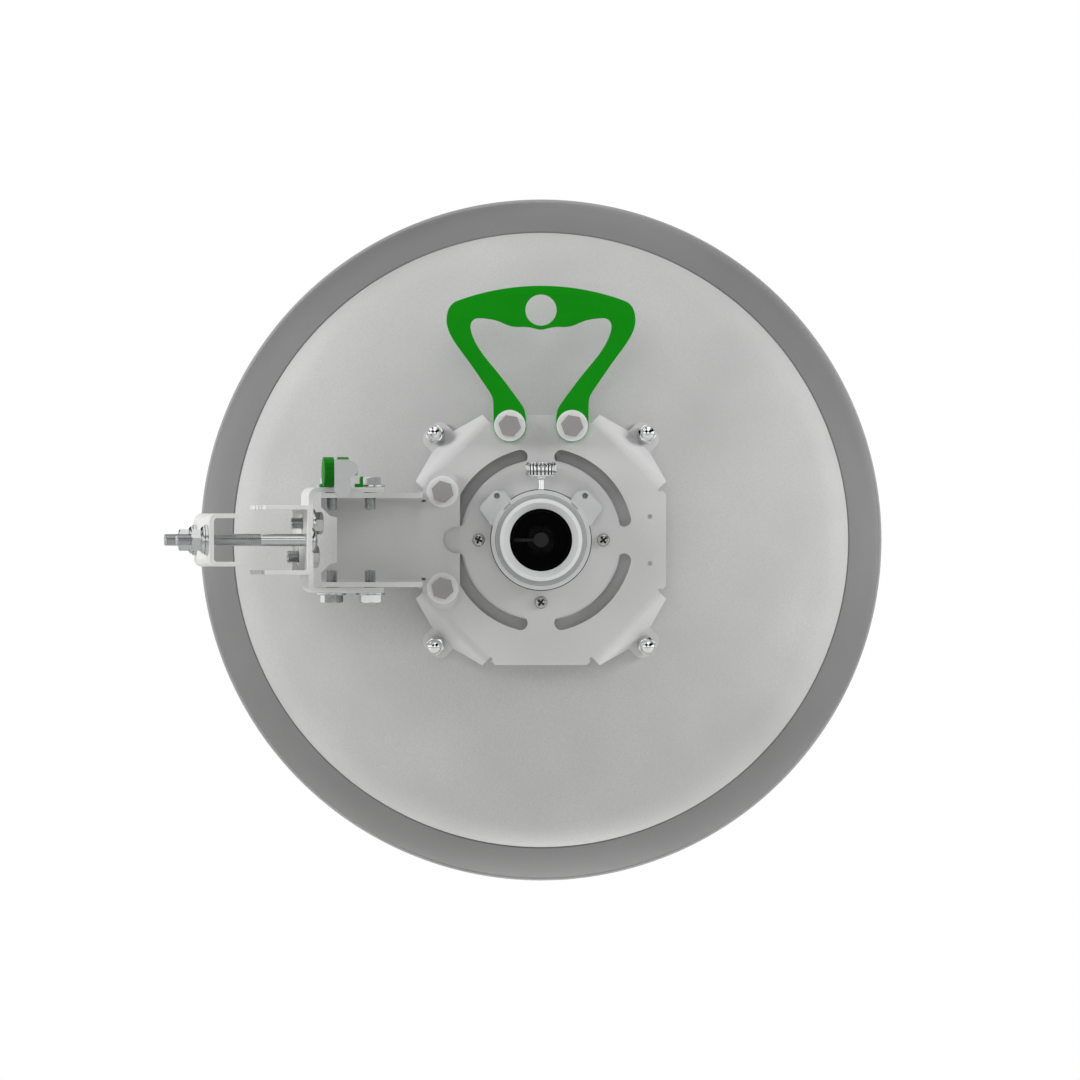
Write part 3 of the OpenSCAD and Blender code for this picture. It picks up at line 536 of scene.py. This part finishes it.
# Feed: a tube carries the signal forward to a plastic cone, which holds the small sub-reflector
# that spreads it over the bowl. All three stand behind the radome.
tube_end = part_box("feed_tube")[1].y / mm
tube_r, plug_r, collar_r, cone_r, splash_r, splash_dish = 14, 11.4, 15, 30, 31, 3
feed_plastic = powder_coat("turned_polystyrene", "#ececea", "#e2e2df", 0.6, 2.0, 0.35)
tube = placed(washer(tube_r, tube_bore_r, dish_y + 0.1, tube_end), boresight)
stand_for(assemble("feed_waveguide", [tube], cast), "feed_tube")
cone_start, cone_end = (corner.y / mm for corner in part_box("feed_cone"))
cone = eased([[0, cone_start], [plug_r, cone_start], [plug_r, tube_end + 0.1],
              [collar_r, tube_end + 0.1], [cone_r, cone_end], [0, cone_end]], 0.4)
stand_for(assemble("feed_horn_cone", [placed(turned(cone), boresight)], feed_plastic), "feed_cone")
splash_start, splash_end = (corner.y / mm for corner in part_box("subreflector"))
splash = eased([[0, splash_start], [splash_r, splash_start], [splash_r, splash_end - splash_dish],
                [0, splash_end]], 0.4)
stand_for(assemble("sub_reflector", [placed(turned(splash), boresight)], cast), "subreflector")

# Port screws: three M5 pan-head screws, stainless, run in through the hub plate and pull the ring
# behind it tight against the sheet. Their cross recesses take a dark material, painted shade.
screw_r, screw_y, pan_r, pan_edge, pan_top = 50.4, 22.3, 5.2, 2.35, 5.6
cross_reach, cross_half, cross_depth = 3.3, 0.75, 1.9
screw_shank, screw_end = 2.45, -4.1


def pan_head(columns=96):
    """A low dome with a rolled edge, z = top - rise * (0.35 (r / R) ** 2.2 + 0.65 (r / R) ** 9),
    less a cross whose arms have sloped sides and ends."""
    share = np.concatenate([np.linspace(0, 0.8, 30), np.linspace(0.83, 1, 8)])[:, None]
    angle = np.linspace(0, turn, columns, endpoint=False)
    x, y = pan_r * share * np.cos(angle), pan_r * share * np.sin(angle)
    along, across = np.maximum(abs(x), abs(y)), np.minimum(abs(x), abs(y))
    arm = np.clip((cross_half - across) / 0.15, 0, 1) * np.clip((cross_reach - along) / 0.4, 0, 1)
    fall = (pan_top - pan_edge) * (0.35 * share ** 2.2 + 0.65 * share ** 9)
    top = pan_top - fall - cross_depth * arm
    dome = np.stack([x, y, top + 0 * x], -1)
    foot = np.zeros((1, columns, 3)) + [0, 0, pan_edge]
    return np.concatenate([dome, foot])


stainless = plated("stainless_steel_bright_rolled", "#c9c8c6", "#b4b3b1", 0.22, 0.38, 4, 0.4)
screw_places = [Matrix.Rotation(math.radians(a), 4, "Y")
                @ Matrix.Translation(Vector((screw_r, screw_y, 0)) * mm) @ rearward for a in (0, 90, 180)]
driven = [place @ Matrix.Rotation(math.radians(38 + 15 * k), 4, "Z")
          for k, place in enumerate(screw_places)]
screw_shells = pan_head(), rod(screw_shank, screw_end, 3, (screw_end, 2), 0.8)
screws = assemble("port_cross_screws", [placed(shell, place) for place in driven for shell in screw_shells],
                  stainless, 30)
screws.data.materials.append(dark_probe_metal_and_painted_shade)
# Faces inside each cross recess take the dark material: painted shade.
for face in screws.data.polygons:
    local = min((place.inverted() @ face.center / mm for place in driven), key=lambda at: at.length)
    along, across = max(abs(local.x), abs(local.y)), min(abs(local.x), abs(local.y))
    in_cross = across < cross_half - 0.03 and along < cross_reach - 0.3
    face.material_index = int(local.z > pan_edge + 0.1 and in_cross)
stand_for(screws, "port_screws")

# Lock ring: a cast ring with two ears that turns through 20 degrees round the barrel to lock the
# radio's spigot. Its rear face has two shallow recesses, and each ear has a small hole.
from_cad("twist_lock_ring", "lock_ring", cast, 0.3)

# Thumb screw: a chromed brass knob with a straight knurl, on a stem that clamps the lock ring. The
# valleys of the knurl take a dark material, painted shade. The collar under the knob is a
# conical spacer turned from the same bar.
thumb_low, thumb_high = (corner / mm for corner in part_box("thumb_screw"))
knob_r, knob_foot, ribs = thumb_high.x, 51, 24
thumb_y = 6
thumb_place = Matrix.Translation(Vector((0, thumb_y, 0)) * mm)


def knurled(profile, depth):
    """A turned profile [radius, along, share of the knurl]: the radius loses depth times
    1 - |sin(ribs / 2 * a)| ** 0.6, which leaves round ribs with sharp valleys between."""
    radius, along, share = np.asarray(profile, float).T[:, :, None]
    angle = np.linspace(0, turn, ribs * 12, endpoint=False)
    radius = radius - depth * share * (1 - abs(np.sin(ribs / 2 * angle)) ** 0.6)
    return np.stack([radius * np.cos(angle), radius * np.sin(angle), along + 0 * angle], -1)


knob_top = thumb_high.z
knob = knurled([[0, knob_foot, 0], [10.6, knob_foot, 0], [11.5, knob_foot + 0.5, 0],
                [11.6, knob_foot + 1.2, 0.2], [12.3, knob_foot + 1.6, 1], [knob_r, knob_foot + 2.3, 1],
                [knob_r, knob_top - 2.3, 1], [12.3, knob_top - 1.6, 1], [11.6, knob_top - 1.2, 0.2],
                [11.5, knob_top - 0.5, 0], [10.6, knob_top, 0], [0, knob_top, 0]], 1.3)
stem = rod(2.85, thumb_low.z, knob_foot + 1, (thumb_low.z, 41), 0.8)
thumb_shells = [placed(shell, thumb_place) for shell in (knob, stem)]
thumb = assemble("knurled_thumb_screw", thumb_shells, chrome, 55)
thumb.data.materials.append(dark_probe_metal_and_painted_shade)
# Faces deep in the knurl's valleys take the dark material: painted shade.
for face in thumb.data.polygons:
    at = face.center / mm
    ribbed = knob_foot + 1.4 < at.z < knob_top - 1.4
    face.material_index = int(ribbed and math.hypot(at.x, at.y - thumb_y) < knob_r - 0.5)
stand_for(thumb, "thumb_screw")
collar_low, collar_high = (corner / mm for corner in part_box("thumb_collar"))
collar_bore = 2.95
collar = eased([[collar_bore, collar_low.z], [3.4, collar_low.z], [collar_high.x, collar_high.z - 0.6],
                [collar_high.x, collar_high.z], [collar_bore, collar_high.z]], 0.2)
stand_for(assemble("thumb_screw_collar", [placed(turned(collar, 64), thumb_place)], chrome), "thumb_collar")

# Handle: 4 mm steel, laser cut as an arch with a hoisting eye in its crown, its inner edge shaped
# for fingers. Its edges are rounded and it is powder coated signal green.
handle_low, handle_high = (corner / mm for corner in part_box("handle"))
handle_foot = 92.3
handle_bolt_x = 25.2
arch_r, foot_r = 195, 13.2
arch_x = np.arange(0, 67, 11)
arch = np.stack([-arch_x, np.sqrt(arch_r ** 2 - arch_x ** 2) - arch_r], -1)
outer_edge = [[-71.5, -14], [-75.3, -19.5], [-76.6, -27.4], [-75.8, -33.4], [-73, -40.4], [-68, -48.4],
              [-57.3, -62.7], [-46, -79.2], [-40.5, -87.2], [-38.9, -91.4], [-38.4, -96.4]]
inner_edge = [[-12.4, -103.4], [-14.2, -97.8], [-21.6, -87.7], [-33.5, -71.7], [-45.5, -57.6],
              [-52.3, -47.4], [-56, -38.9], [-57.1, -33.4], [-56.3, -29.4], [-53.6, -26.8],
              [-50, -26.2], [-40.9, -27], [-34.1, -28.8], [-26.2, -32.4], [-20, -33.6],
              [-12.6, -33.2], [-5.8, -34.4], [0, -36]]


def cut_sheet(name, outlines, thickness, edge):
    """Flat sheet at z = 0 to thickness with rounded edges: a filled curve with its first outline
    outside and the others as holes, drawn `edge` inside, which its bevel then brings out."""
    drawing = bpy.data.curves.new(name, "CURVE")
    drawing.dimensions, drawing.fill_mode = "2D", "BOTH"
    drawing.extrude, drawing.bevel_depth = (thickness / 2 - edge) * mm, edge * mm
    drawing.offset = -edge * mm
    drawing.bevel_resolution = 2
    for outline in outlines:
        line = drawing.splines.new("POLY")
        line.points.add(len(outline) - 1)
        corners = np.zeros((len(outline), 4))
        corners[:, :2] = np.asarray(outline) * mm
        line.points.foreach_set("co", corners.ravel())
        line.use_cyclic_u = True
    shape = bpy.data.objects.new(name, drawing)
    mesh = bpy.data.meshes.new_from_object(shape)
    bpy.data.objects.remove(shape)
    sheet_skin = bmesh.new()
    sheet_skin.from_mesh(mesh)
    bmesh.ops.remove_doubles(sheet_skin, verts=sheet_skin.verts, dist=1e-6)
    bmesh.ops.recalc_face_normals(sheet_skin, faces=sheet_skin.faces)
    sheet_skin.to_mesh(mesh)
    sheet_skin.free()
    return mesh


def softened(outline, rounds=3):
    """Cuts every corner of an outline a quarter and three quarters along its sides, `rounds`
    times over, which tends to a smooth curve."""
    outline = np.asarray(outline, float)
    for _ in range(rounds):
        ahead = np.roll(outline, -1, 0)
        outline = np.stack([0.75 * outline + 0.25 * ahead, 0.25 * outline + 0.75 * ahead], 1).reshape(-1, 2)
    return outline


def circle(x, y, radius, count=72):
    """A circle's points, at equal angles."""
    angle = np.linspace(0, turn, count, endpoint=False)
    return np.stack([x + radius * np.cos(angle), y + radius * np.sin(angle)], -1)


foot_angle = np.radians(np.linspace(180, 360, 16))
foot_arc = np.stack([foot_r * np.cos(foot_angle) - handle_bolt_x,
                     foot_r * np.sin(foot_angle) + handle_foot], -1)
left_half = np.concatenate([arch + [0, handle_high.z], np.array(outer_edge) + [0, handle_high.z],
                            foot_arc, np.array(inner_edge) + [0, handle_high.z]])
right_half = (left_half * [-1, 1])[::-1][1:-1]
handle_outline = softened(np.concatenate([left_half, right_half]))
eye_z, eye_r, bolt_hole_r = 185.7, 12.55, 5.25
handle_mesh = cut_sheet("carrying_handle", [
    handle_outline, circle(0, eye_z, eye_r), circle(-handle_bolt_x, handle_foot, bolt_hole_r),
    circle(handle_bolt_x, handle_foot, bolt_hole_r)], handle_high.y - handle_low.y, 0.5)
handle_middle = Vector((0, (handle_high.y + handle_low.y) / 2, 0))
handle_mesh.transform(Matrix.Translation(handle_middle * mm) @ rearward)
green_paint = powder_coat("signal_green_powder_coat", "#0f9310", "#0c890d", 0.8, 2.0, 0.5, 0.12)
stand_for(show("carrying_handle", handle_mesh, green_paint), "handle")


# Hub bolts: four M10 hexagon-head bolts in stainless hold the handle and the arm to the hub plate,
# each over a thick stamped washer, with a nut on the far side of the sheet.
def solids(node, matrix=Matrix.Identity(4)):
    """Lowest and highest corner, in mm, of each separate solid of a CAD node, seen in a frame.
    Points in one place are one point, and each takes the least number that an edge brings it."""
    mesh = frame["nodes"][node].data
    points = np.empty(len(mesh.vertices) * 3)
    mesh.vertices.foreach_get("co", points)
    ends = np.empty(len(mesh.edges) * 2, np.int32)
    mesh.edges.foreach_get("vertices", ends)
    inverse = np.array(matrix.inverted())
    points = points.reshape(-1, 3) @ inverse[:3, :3].T + inverse[:3, 3]
    same = np.unique(np.round(points / 2e-6), axis=0, return_inverse=True)[1].ravel()
    ends = same[ends.reshape(-1, 2)]
    label, settled = np.arange(same.max() + 1), False
    while not settled:
        least = label[ends].min(1)
        reached = label.copy()
        np.minimum.at(reached, ends[:, 0], least)
        np.minimum.at(reached, ends[:, 1], least)
        reached = reached[reached]
        settled = (reached == label).all()
        label = reached
    return [(points[label[same] == k].min(0) / mm, points[label[same] == k].max(0) / mm)
            for k in np.unique(label)]


def middle(low, high, *axes):
    """A move to the middle of a solid along the given axes, and to 0 along the others."""
    return Matrix.Translation(Vector([(low[k] + high[k]) / 2 if k in axes else 0 for k in range(3)]) * mm)


def ring_set(name, node, hole_radius, material, frame_of=Matrix.Identity(4)):
    """The washers or bushes of a CAD node, each a flat ring along Z of the frame it is seen in."""
    rings = []
    for low, high in solids(node, frame_of):
        ring = washer((high[0] - low[0]) / 2, hole_radius, low[2], high[2])
        rings.append(placed(ring, frame_of @ middle(low, high, 0, 1)))
    stand_for(assemble(name, rings, material), node)


m10_flats, m10_head, m10_shank, m10_hole = 16, 6.4, 4.95, 5.1
full_crown = 0.6                  # wider than the corners, so the head's face stays a hexagon
bolt_steel = plated("stainless_steel_forged_head", "#a5a2a1", "#9c9998", 0.6, 0.72, 6, 0.35, 0.2)


def hex_bolt(low, seat, head_turn, crown=0.47):
    """A bolt along Z, its head on top of `seat` and its threaded shank down to `low`. The head is
    turned about Z by head_turn, in degrees."""
    head = hexagon(m10_flats, seat, seat + m10_head, crown=crown)
    c, s = math.cos(math.radians(head_turn)), math.sin(math.radians(head_turn))
    return [head @ np.array([[c, s, 0], [-s, c, 0], [0, 0, 1]]),
            rod(m10_shank, low, seat + 1, (low, seat - 8))]


for bolts, washers, head_turn in (("handle_bolts", "handle_washers", -10),
                                  ("arm_bolts", "arm_washers", -17)):
    shells = [placed(shell, rearward @ middle(low, high, 0, 1)) for low, high in solids(bolts, rearward)
              for shell in hex_bolt(low[2], high[2] - m10_head, head_turn, full_crown)]
    stand_for(assemble(bolts[:-1] + "_pair", shells, bolt_steel, 25), bolts)
    ring_set(washers[:-1] + "_pair", washers, m10_hole, zinc_matt, rearward)
nuts = [placed(hexagon(m10_flats, low[2], high[2], True), rearward @ middle(low, high, 0, 1))
        for low, high in solids("hub_nuts", rearward)]
stand_for(assemble("hub_sheet_nuts", nuts, zinc), "hub_nuts")

# Arm: a channel folded from 4 mm steel, with two round lobes that take the hub bolts and a
# half-moon notch that clears the lock. It carries the dish beside the pole.
from_cad("arm_channel", "arm", plate_paint, 0.4)

# Azimuth bolts: four M10 bolts stand in bushes in the arm's flanges and reach through the U
# bracket. One above and one below are the pivot, and the other two lock in curved slots.
for bolts, head_turn in (("azimuth_pivot_bolts", 8), ("azimuth_lock_bolts", 20)):
    shells = []
    for low, high in solids(bolts):
        upright = Matrix.Identity(4) if high[2] > 0 else Matrix.Rotation(math.pi, 4, "X")
        foot, top = sorted((abs(low[2]), abs(high[2])))
        shells += [placed(shell, middle(low, high, 0, 1) @ upright)
                   for shell in hex_bolt(foot, top - m10_head, head_turn)]
    stand_for(assemble(bolts[:-1] + "_set", shells, zinc, 25), bolts)
ring_set("azimuth_washer_set", "azimuth_washers", 5.2, zinc)
ring_set("arm_bush_set", "arm_bushes", 5.0, zinc)

# Drive pin: a steel dowel that stands in the arm's flange. The fine adjuster's nut block pushes it
# sideways, which swings the arm and the dish.
pin_low, pin_high = solids("drive_pin")[0]
dowel_r = 2.5
dowel = eased([[0, pin_low[2]], [dowel_r, pin_low[2]], [dowel_r, pin_high[2]], [0, pin_high[2]]], 0.6)
drive_dowel = placed(turned(dowel, 48), middle(pin_low, pin_high, 0, 1))
stand_for(assemble("drive_dowel", [drive_dowel], zinc), "drive_pin")

# U bracket: folded from 4 mm steel round the arm's end. Its web is the elevation plate, with a
# pivot hole, a curved slot and scallops that clear the heads of the carriage bolts.
bracket_paint = powder_coat("white_powder_coat_on_clamp_steel", "#ebebea", "#dfdfde", 0.8, 2.0, 0.48)
from_cad("u_bracket_channel", "u_bracket", bracket_paint, 0.4)

# Fine adjuster: a small zinc-plated bracket on the U bracket's flange carries an M6 screw. A green
# moulded wheel turns it, and a green nut block on it pushes the arm's dowel sideways. The strip
# beside them shows how far it has gone.
azimuth = next(joint for joint in frame["joints"] if joint["name"] == "azimuth")
elevation = next(joint for joint in frame["joints"] if joint["name"] == "elevation")
yaw = math.atan2(elevation["axis"][1], elevation["axis"][0])
pole_side = Matrix.Translation(azimuth["pos_m"]) @ Matrix.Rotation(yaw, 4, "Z")
along_pole_side = Matrix.Rotation(math.pi / 2, 4, "Y")      # turns a shape's own Z to the frame's X
zinc_dull = plated("zinc_plate_on_die_casting", "#ced0d0", "#c1c3c3", 0.45, 0.6, 5, 0.5, 0.4)
from_cad("adjuster_bracket", "adjuster_frame", zinc_dull, 0.2)
from_cad("index_strips", "index_strip", green_paint, 0.15)


def moulded(name, pale, deep, texture):
    """Moulded polyamide: a spark-eroded texture `texture` mm across in the bump and the gloss, and
    flow marks in the tint."""
    material, tree, place, shader = finish(name, Specular_IOR_Level=0.15)
    grain = noise(tree, place, texture, 3.0)
    tint = between(tree, noise(tree, place, 12, 2.0), deep, pale)
    gloss = add(tree, "MapRange", {0: grain.outputs[0], 1: 0.3, 2: 0.7, 3: 0.38, 4: 0.55})
    bump = add(tree, "Bump", {"Height": grain.outputs[0], "Strength": 0.3, "Distance": 0.06 * mm})
    wire(tree, shader, tint, bump, gloss)
    return material


green_plastic = moulded("moulded_green_polyamide", "#077a0b", "#056c08", 0.5)
from_cad("adjuster_nut_block", "adjuster_nut", green_plastic, 0.7)
wheel_low, wheel_high = solids("adjuster_wheel", pole_side)[0]
screw_line = pole_side @ middle(wheel_low, wheel_high, 1, 2) @ along_pole_side
wheel_r = (wheel_high[2] - wheel_low[2]) / 2
flutes, flute_depth = 18, 0.3
wheel_angle = np.linspace(0, turn, flutes * 16, endpoint=False)
wheel_profile = eased([[0, wheel_low[0]], [wheel_r, wheel_low[0]], [wheel_r, wheel_high[0]],
                       [0, wheel_high[0]]], 1.1, 6)
flute = flute_depth * np.clip(np.cos(flutes * wheel_angle) * 2 - 1, 0, 1) ** 0.5
wheel_grid = turned(wheel_profile, len(wheel_angle))
wheel_share = np.clip(wheel_profile[:, 0] / wheel_r * 4 - 3, 0, 1)[:, None]
wheel_grid[:, :, :2] *= (1 - flute * wheel_share / wheel_r)[:, :, None]
wheel = assemble("adjuster_knob", [placed(wheel_grid, screw_line)], green_plastic)
stand_for(wheel, "adjuster_wheel")
m6_shank, thread_start, thrust_r, m6_hole = 2.95, -2, 10.5, 3.2
screw_low, screw_high = solids("adjuster_screw", pole_side)[0]
lead_screw = rod(m6_shank, screw_low[0], screw_high[0], (thread_start, screw_high[0]), 1.0)
stand_for(assemble("adjuster_lead_screw", [placed(lead_screw, screw_line)], zinc), "adjuster_screw")
thrust_low, thrust_high = solids("thrust_washer", pole_side)[0]
thrust_ring = placed(washer(thrust_r, m6_hole, thrust_low[0], thrust_high[0]), screw_line)
stand_for(assemble("adjuster_thrust_washer", [thrust_ring], seal_rubber), "thrust_washer")

# Inner jaw: a channel of 3.5 mm steel that turns on the U bracket's web. Its flanges end in a
# wide toothed vee that bites the pole.
from_cad("inner_jaw_channel", "inner_jaw", bracket_paint, 0.35)

# Elevation bolts: two M10 bolts through the web, one the pivot and one in the curved slot, with
# their threads left standing in the jaw, and turned bushes in the jaw's own holes.
elevation_head_turn = 12
shells = [placed(shell, pole_side @ middle(low, high, 1, 2) @ along_pole_side)
          for low, high in solids("elevation_bolts", pole_side)
          for shell in hex_bolt(low[0], high[0] - m10_head, elevation_head_turn)]
stand_for(assemble("elevation_bolt_pair", shells, zinc, 25), "elevation_bolts")
for name, node, outer, inner in (("elevation_washer_pair", "elevation_washers", 11.5, 5.2),
                                 ("jaw_bush_pair", "jaw_bushes", 7.97, 5.0)):
    rings = [placed(washer(outer, inner, low[0], high[0]),
                    pole_side @ middle(low, high, 1, 2) @ along_pole_side)
             for low, high in solids(node, pole_side)]
    stand_for(assemble(name, rings, zinc), node)

# Carriage bolts: two long M10 bolts with low domed heads draw the jaws together. They are zinc
# plated, bare near the head and threaded over the outer half.
shells = []
head_r, head_edge, head_height, bare_from = 10.2, 1.2, 6, -62.8
head_crown = np.radians(np.linspace(0, 90, 12))
for low, high in solids("carriage_bolts", pole_side):
    seat = high[0] - head_height
    dome_height = seat + head_edge + 4.8 * np.sin(head_crown)
    head = np.concatenate([[[0, seat], [10, seat], [head_r, seat + 0.3]],
                           np.stack([head_r * np.cos(head_crown), dome_height], -1)])
    head[-1, 0] = 0
    shells += [placed(shell, pole_side @ middle(low, high, 1) @ along_pole_side)
               for shell in (turned(head, 64), rod(5, low[0], seat + 1, (low[0], bare_from)))]
stand_for(assemble("carriage_bolt_pair", shells, zinc), "carriage_bolts")

# Outer jaw: the loose half of the clamp, a channel with the same toothed vee and two oval holes
# that let it tilt on the bolts. Jaws and U bracket share one white coat.
from_cad("outer_jaw_channel", "outer_jaw", bracket_paint, 0.35)

# Clamp nuts: flange nuts over thick washers close the outer jaw on the pole, 16 mm across flats,
# bright zinc.
rings = [placed(washer((high[2] - low[2]) / 2, 5.3, low[0], high[0]),
                pole_side @ middle(low, high, 1) @ along_pole_side)
         for low, high in solids("jaw_washers", pole_side)]
stand_for(assemble("clamp_washer_pair", rings, zinc), "jaw_washers")
nuts = []
nut_flange_r, nut_neck_r, nut_bore_r, nut_flange_height = 11, 8, 5, 2.2
hex_turn = Matrix.Rotation(math.radians(20), 4, "Z")
for low, high in solids("flange_nuts", pole_side):
    place = pole_side @ middle(low, high, 1) @ along_pole_side
    nut_end = high[0] - nut_flange_height
    flared = eased([[nut_bore_r, nut_end - 1.6], [nut_neck_r, nut_end - 1.6],
                    [nut_flange_r, nut_end + 0.6], [nut_flange_r, high[0]], [nut_bore_r, high[0]]], 0.3)
    nuts += [placed(turned(flared, 64), place),
             placed(hexagon(m10_flats, low[0], nut_end + 0.1, True), place @ hex_turn)]
stand_for(assemble("clamp_flange_nuts", nuts, zinc, 25), "flange_nuts")


# Studio: a plain pale floor 0.3 m below the rim, and soft light from panels at both sides, above,
# behind the camera, on the floor under the rim and in front of the radome. The sky is white to the
# eye and a dim grey to paint. Metal mirrors it as crossed stripes, which give it contrast.
def panel(name, place, target, size, power):
    """A square area light of `size` metres that faces the target. Neither the eye nor a mirror
    sees it, since its outline would speckle the chrome."""
    light = bpy.data.lights.new(name, "AREA")
    light.size, light.energy = size, power
    lamp = bpy.data.objects.new(name, light)
    lamp.location = place
    lamp.rotation_euler = (Vector(target) - Vector(place)).to_track_quat("-Z", "Y").to_euler()
    lamp.visible_camera = lamp.visible_glossy = False
    bpy.context.scene.collection.objects.link(lamp)


floor_half, floor_drop = 6, 0.3
floor_z = cad_box[0].z - floor_drop
floor_mesh = bpy.data.meshes.new("studio_floor")
floor_mesh.from_pydata([(-floor_half, -floor_half, floor_z), (floor_half, -floor_half, floor_z),
                        (floor_half, floor_half, floor_z), (-floor_half, floor_half, floor_z)],
                       [], [(0, 1, 2, 3)])
floor = show("studio_floor", floor_mesh, powder_coat("pale_painted_floor", "#ebebea", "#e4e4e3", 3, 9, 0.7))
panel("left_panel", (-2.25, -0.55, 0.9), (0, 0, 0), 1.0, 40)
panel("right_panel", (2.25, -0.55, 0.8), (0, 0, 0), 1.0, 38)
panel("top_panel", (0.0, -0.6, 2.3), (0, 0, 0), 1.0, 9)
panel("key_panel", (-0.3, -2.3, 1.2), (0, 0, 0), 1.0, 4)
panel("rim_panel", (0.0, 0.35, floor_z + 0.02), (0, 0.35, 0), 0.5, 1.3)
panel("front_panel", (0.6, 2.4, 1.4), (0, 0.2, 0), 1.4, 11)
world = bpy.data.worlds.new("studio")
world.use_nodes = True
bpy.context.scene.world = world
sky = world.node_tree
to_eye = add(sky, "LightPath", {}).outputs["Is Camera Ray"]
direction = add(sky, "SeparateXYZ", {0: add(sky, "TexCoord", {}).outputs["Generated"]})
towards_camera = add(sky, "MapRange", {0: direction.outputs["Y"], 1: 0.1, 2: -0.9, 3: 0.12, 4: 0.32})
across = add(sky, "Math", {0: direction.outputs["X"], 1: 7.0, 2: 0.7}, operation="MULTIPLY_ADD")
upward = add(sky, "Math", {0: direction.outputs["Z"], 1: 8.0, 2: 1.2}, operation="MULTIPLY_ADD")
columns, rows = (add(sky, "Math", {0: phase.outputs[0]}, operation="SINE") for phase in (across, upward))
crossed = add(sky, "Math", {0: columns.outputs[0], 1: rows.outputs[0]}, operation="ADD")
strips = add(sky, "MapRange", {0: crossed.outputs[0], 1: -0.2, 2: 0.4, 3: 0.0, 4: 1.2})
to_metal = add(sky, "LightPath", {}).outputs["Is Glossy Ray"]
lit = add(sky, "Mix", {0: to_metal, 2: towards_camera.outputs[0], 3: strips.outputs[0]})
strength = add(sky, "Mix", {0: to_eye, 2: lit.outputs[0], 3: 1.0})
sky.links.new(strength.outputs[0], sky.nodes["Background"].inputs["Strength"])
sky.nodes["Background"].inputs["Color"].default_value = (1, 1, 1, 1)
bpy.context.scene.view_settings.view_transform = "Standard"
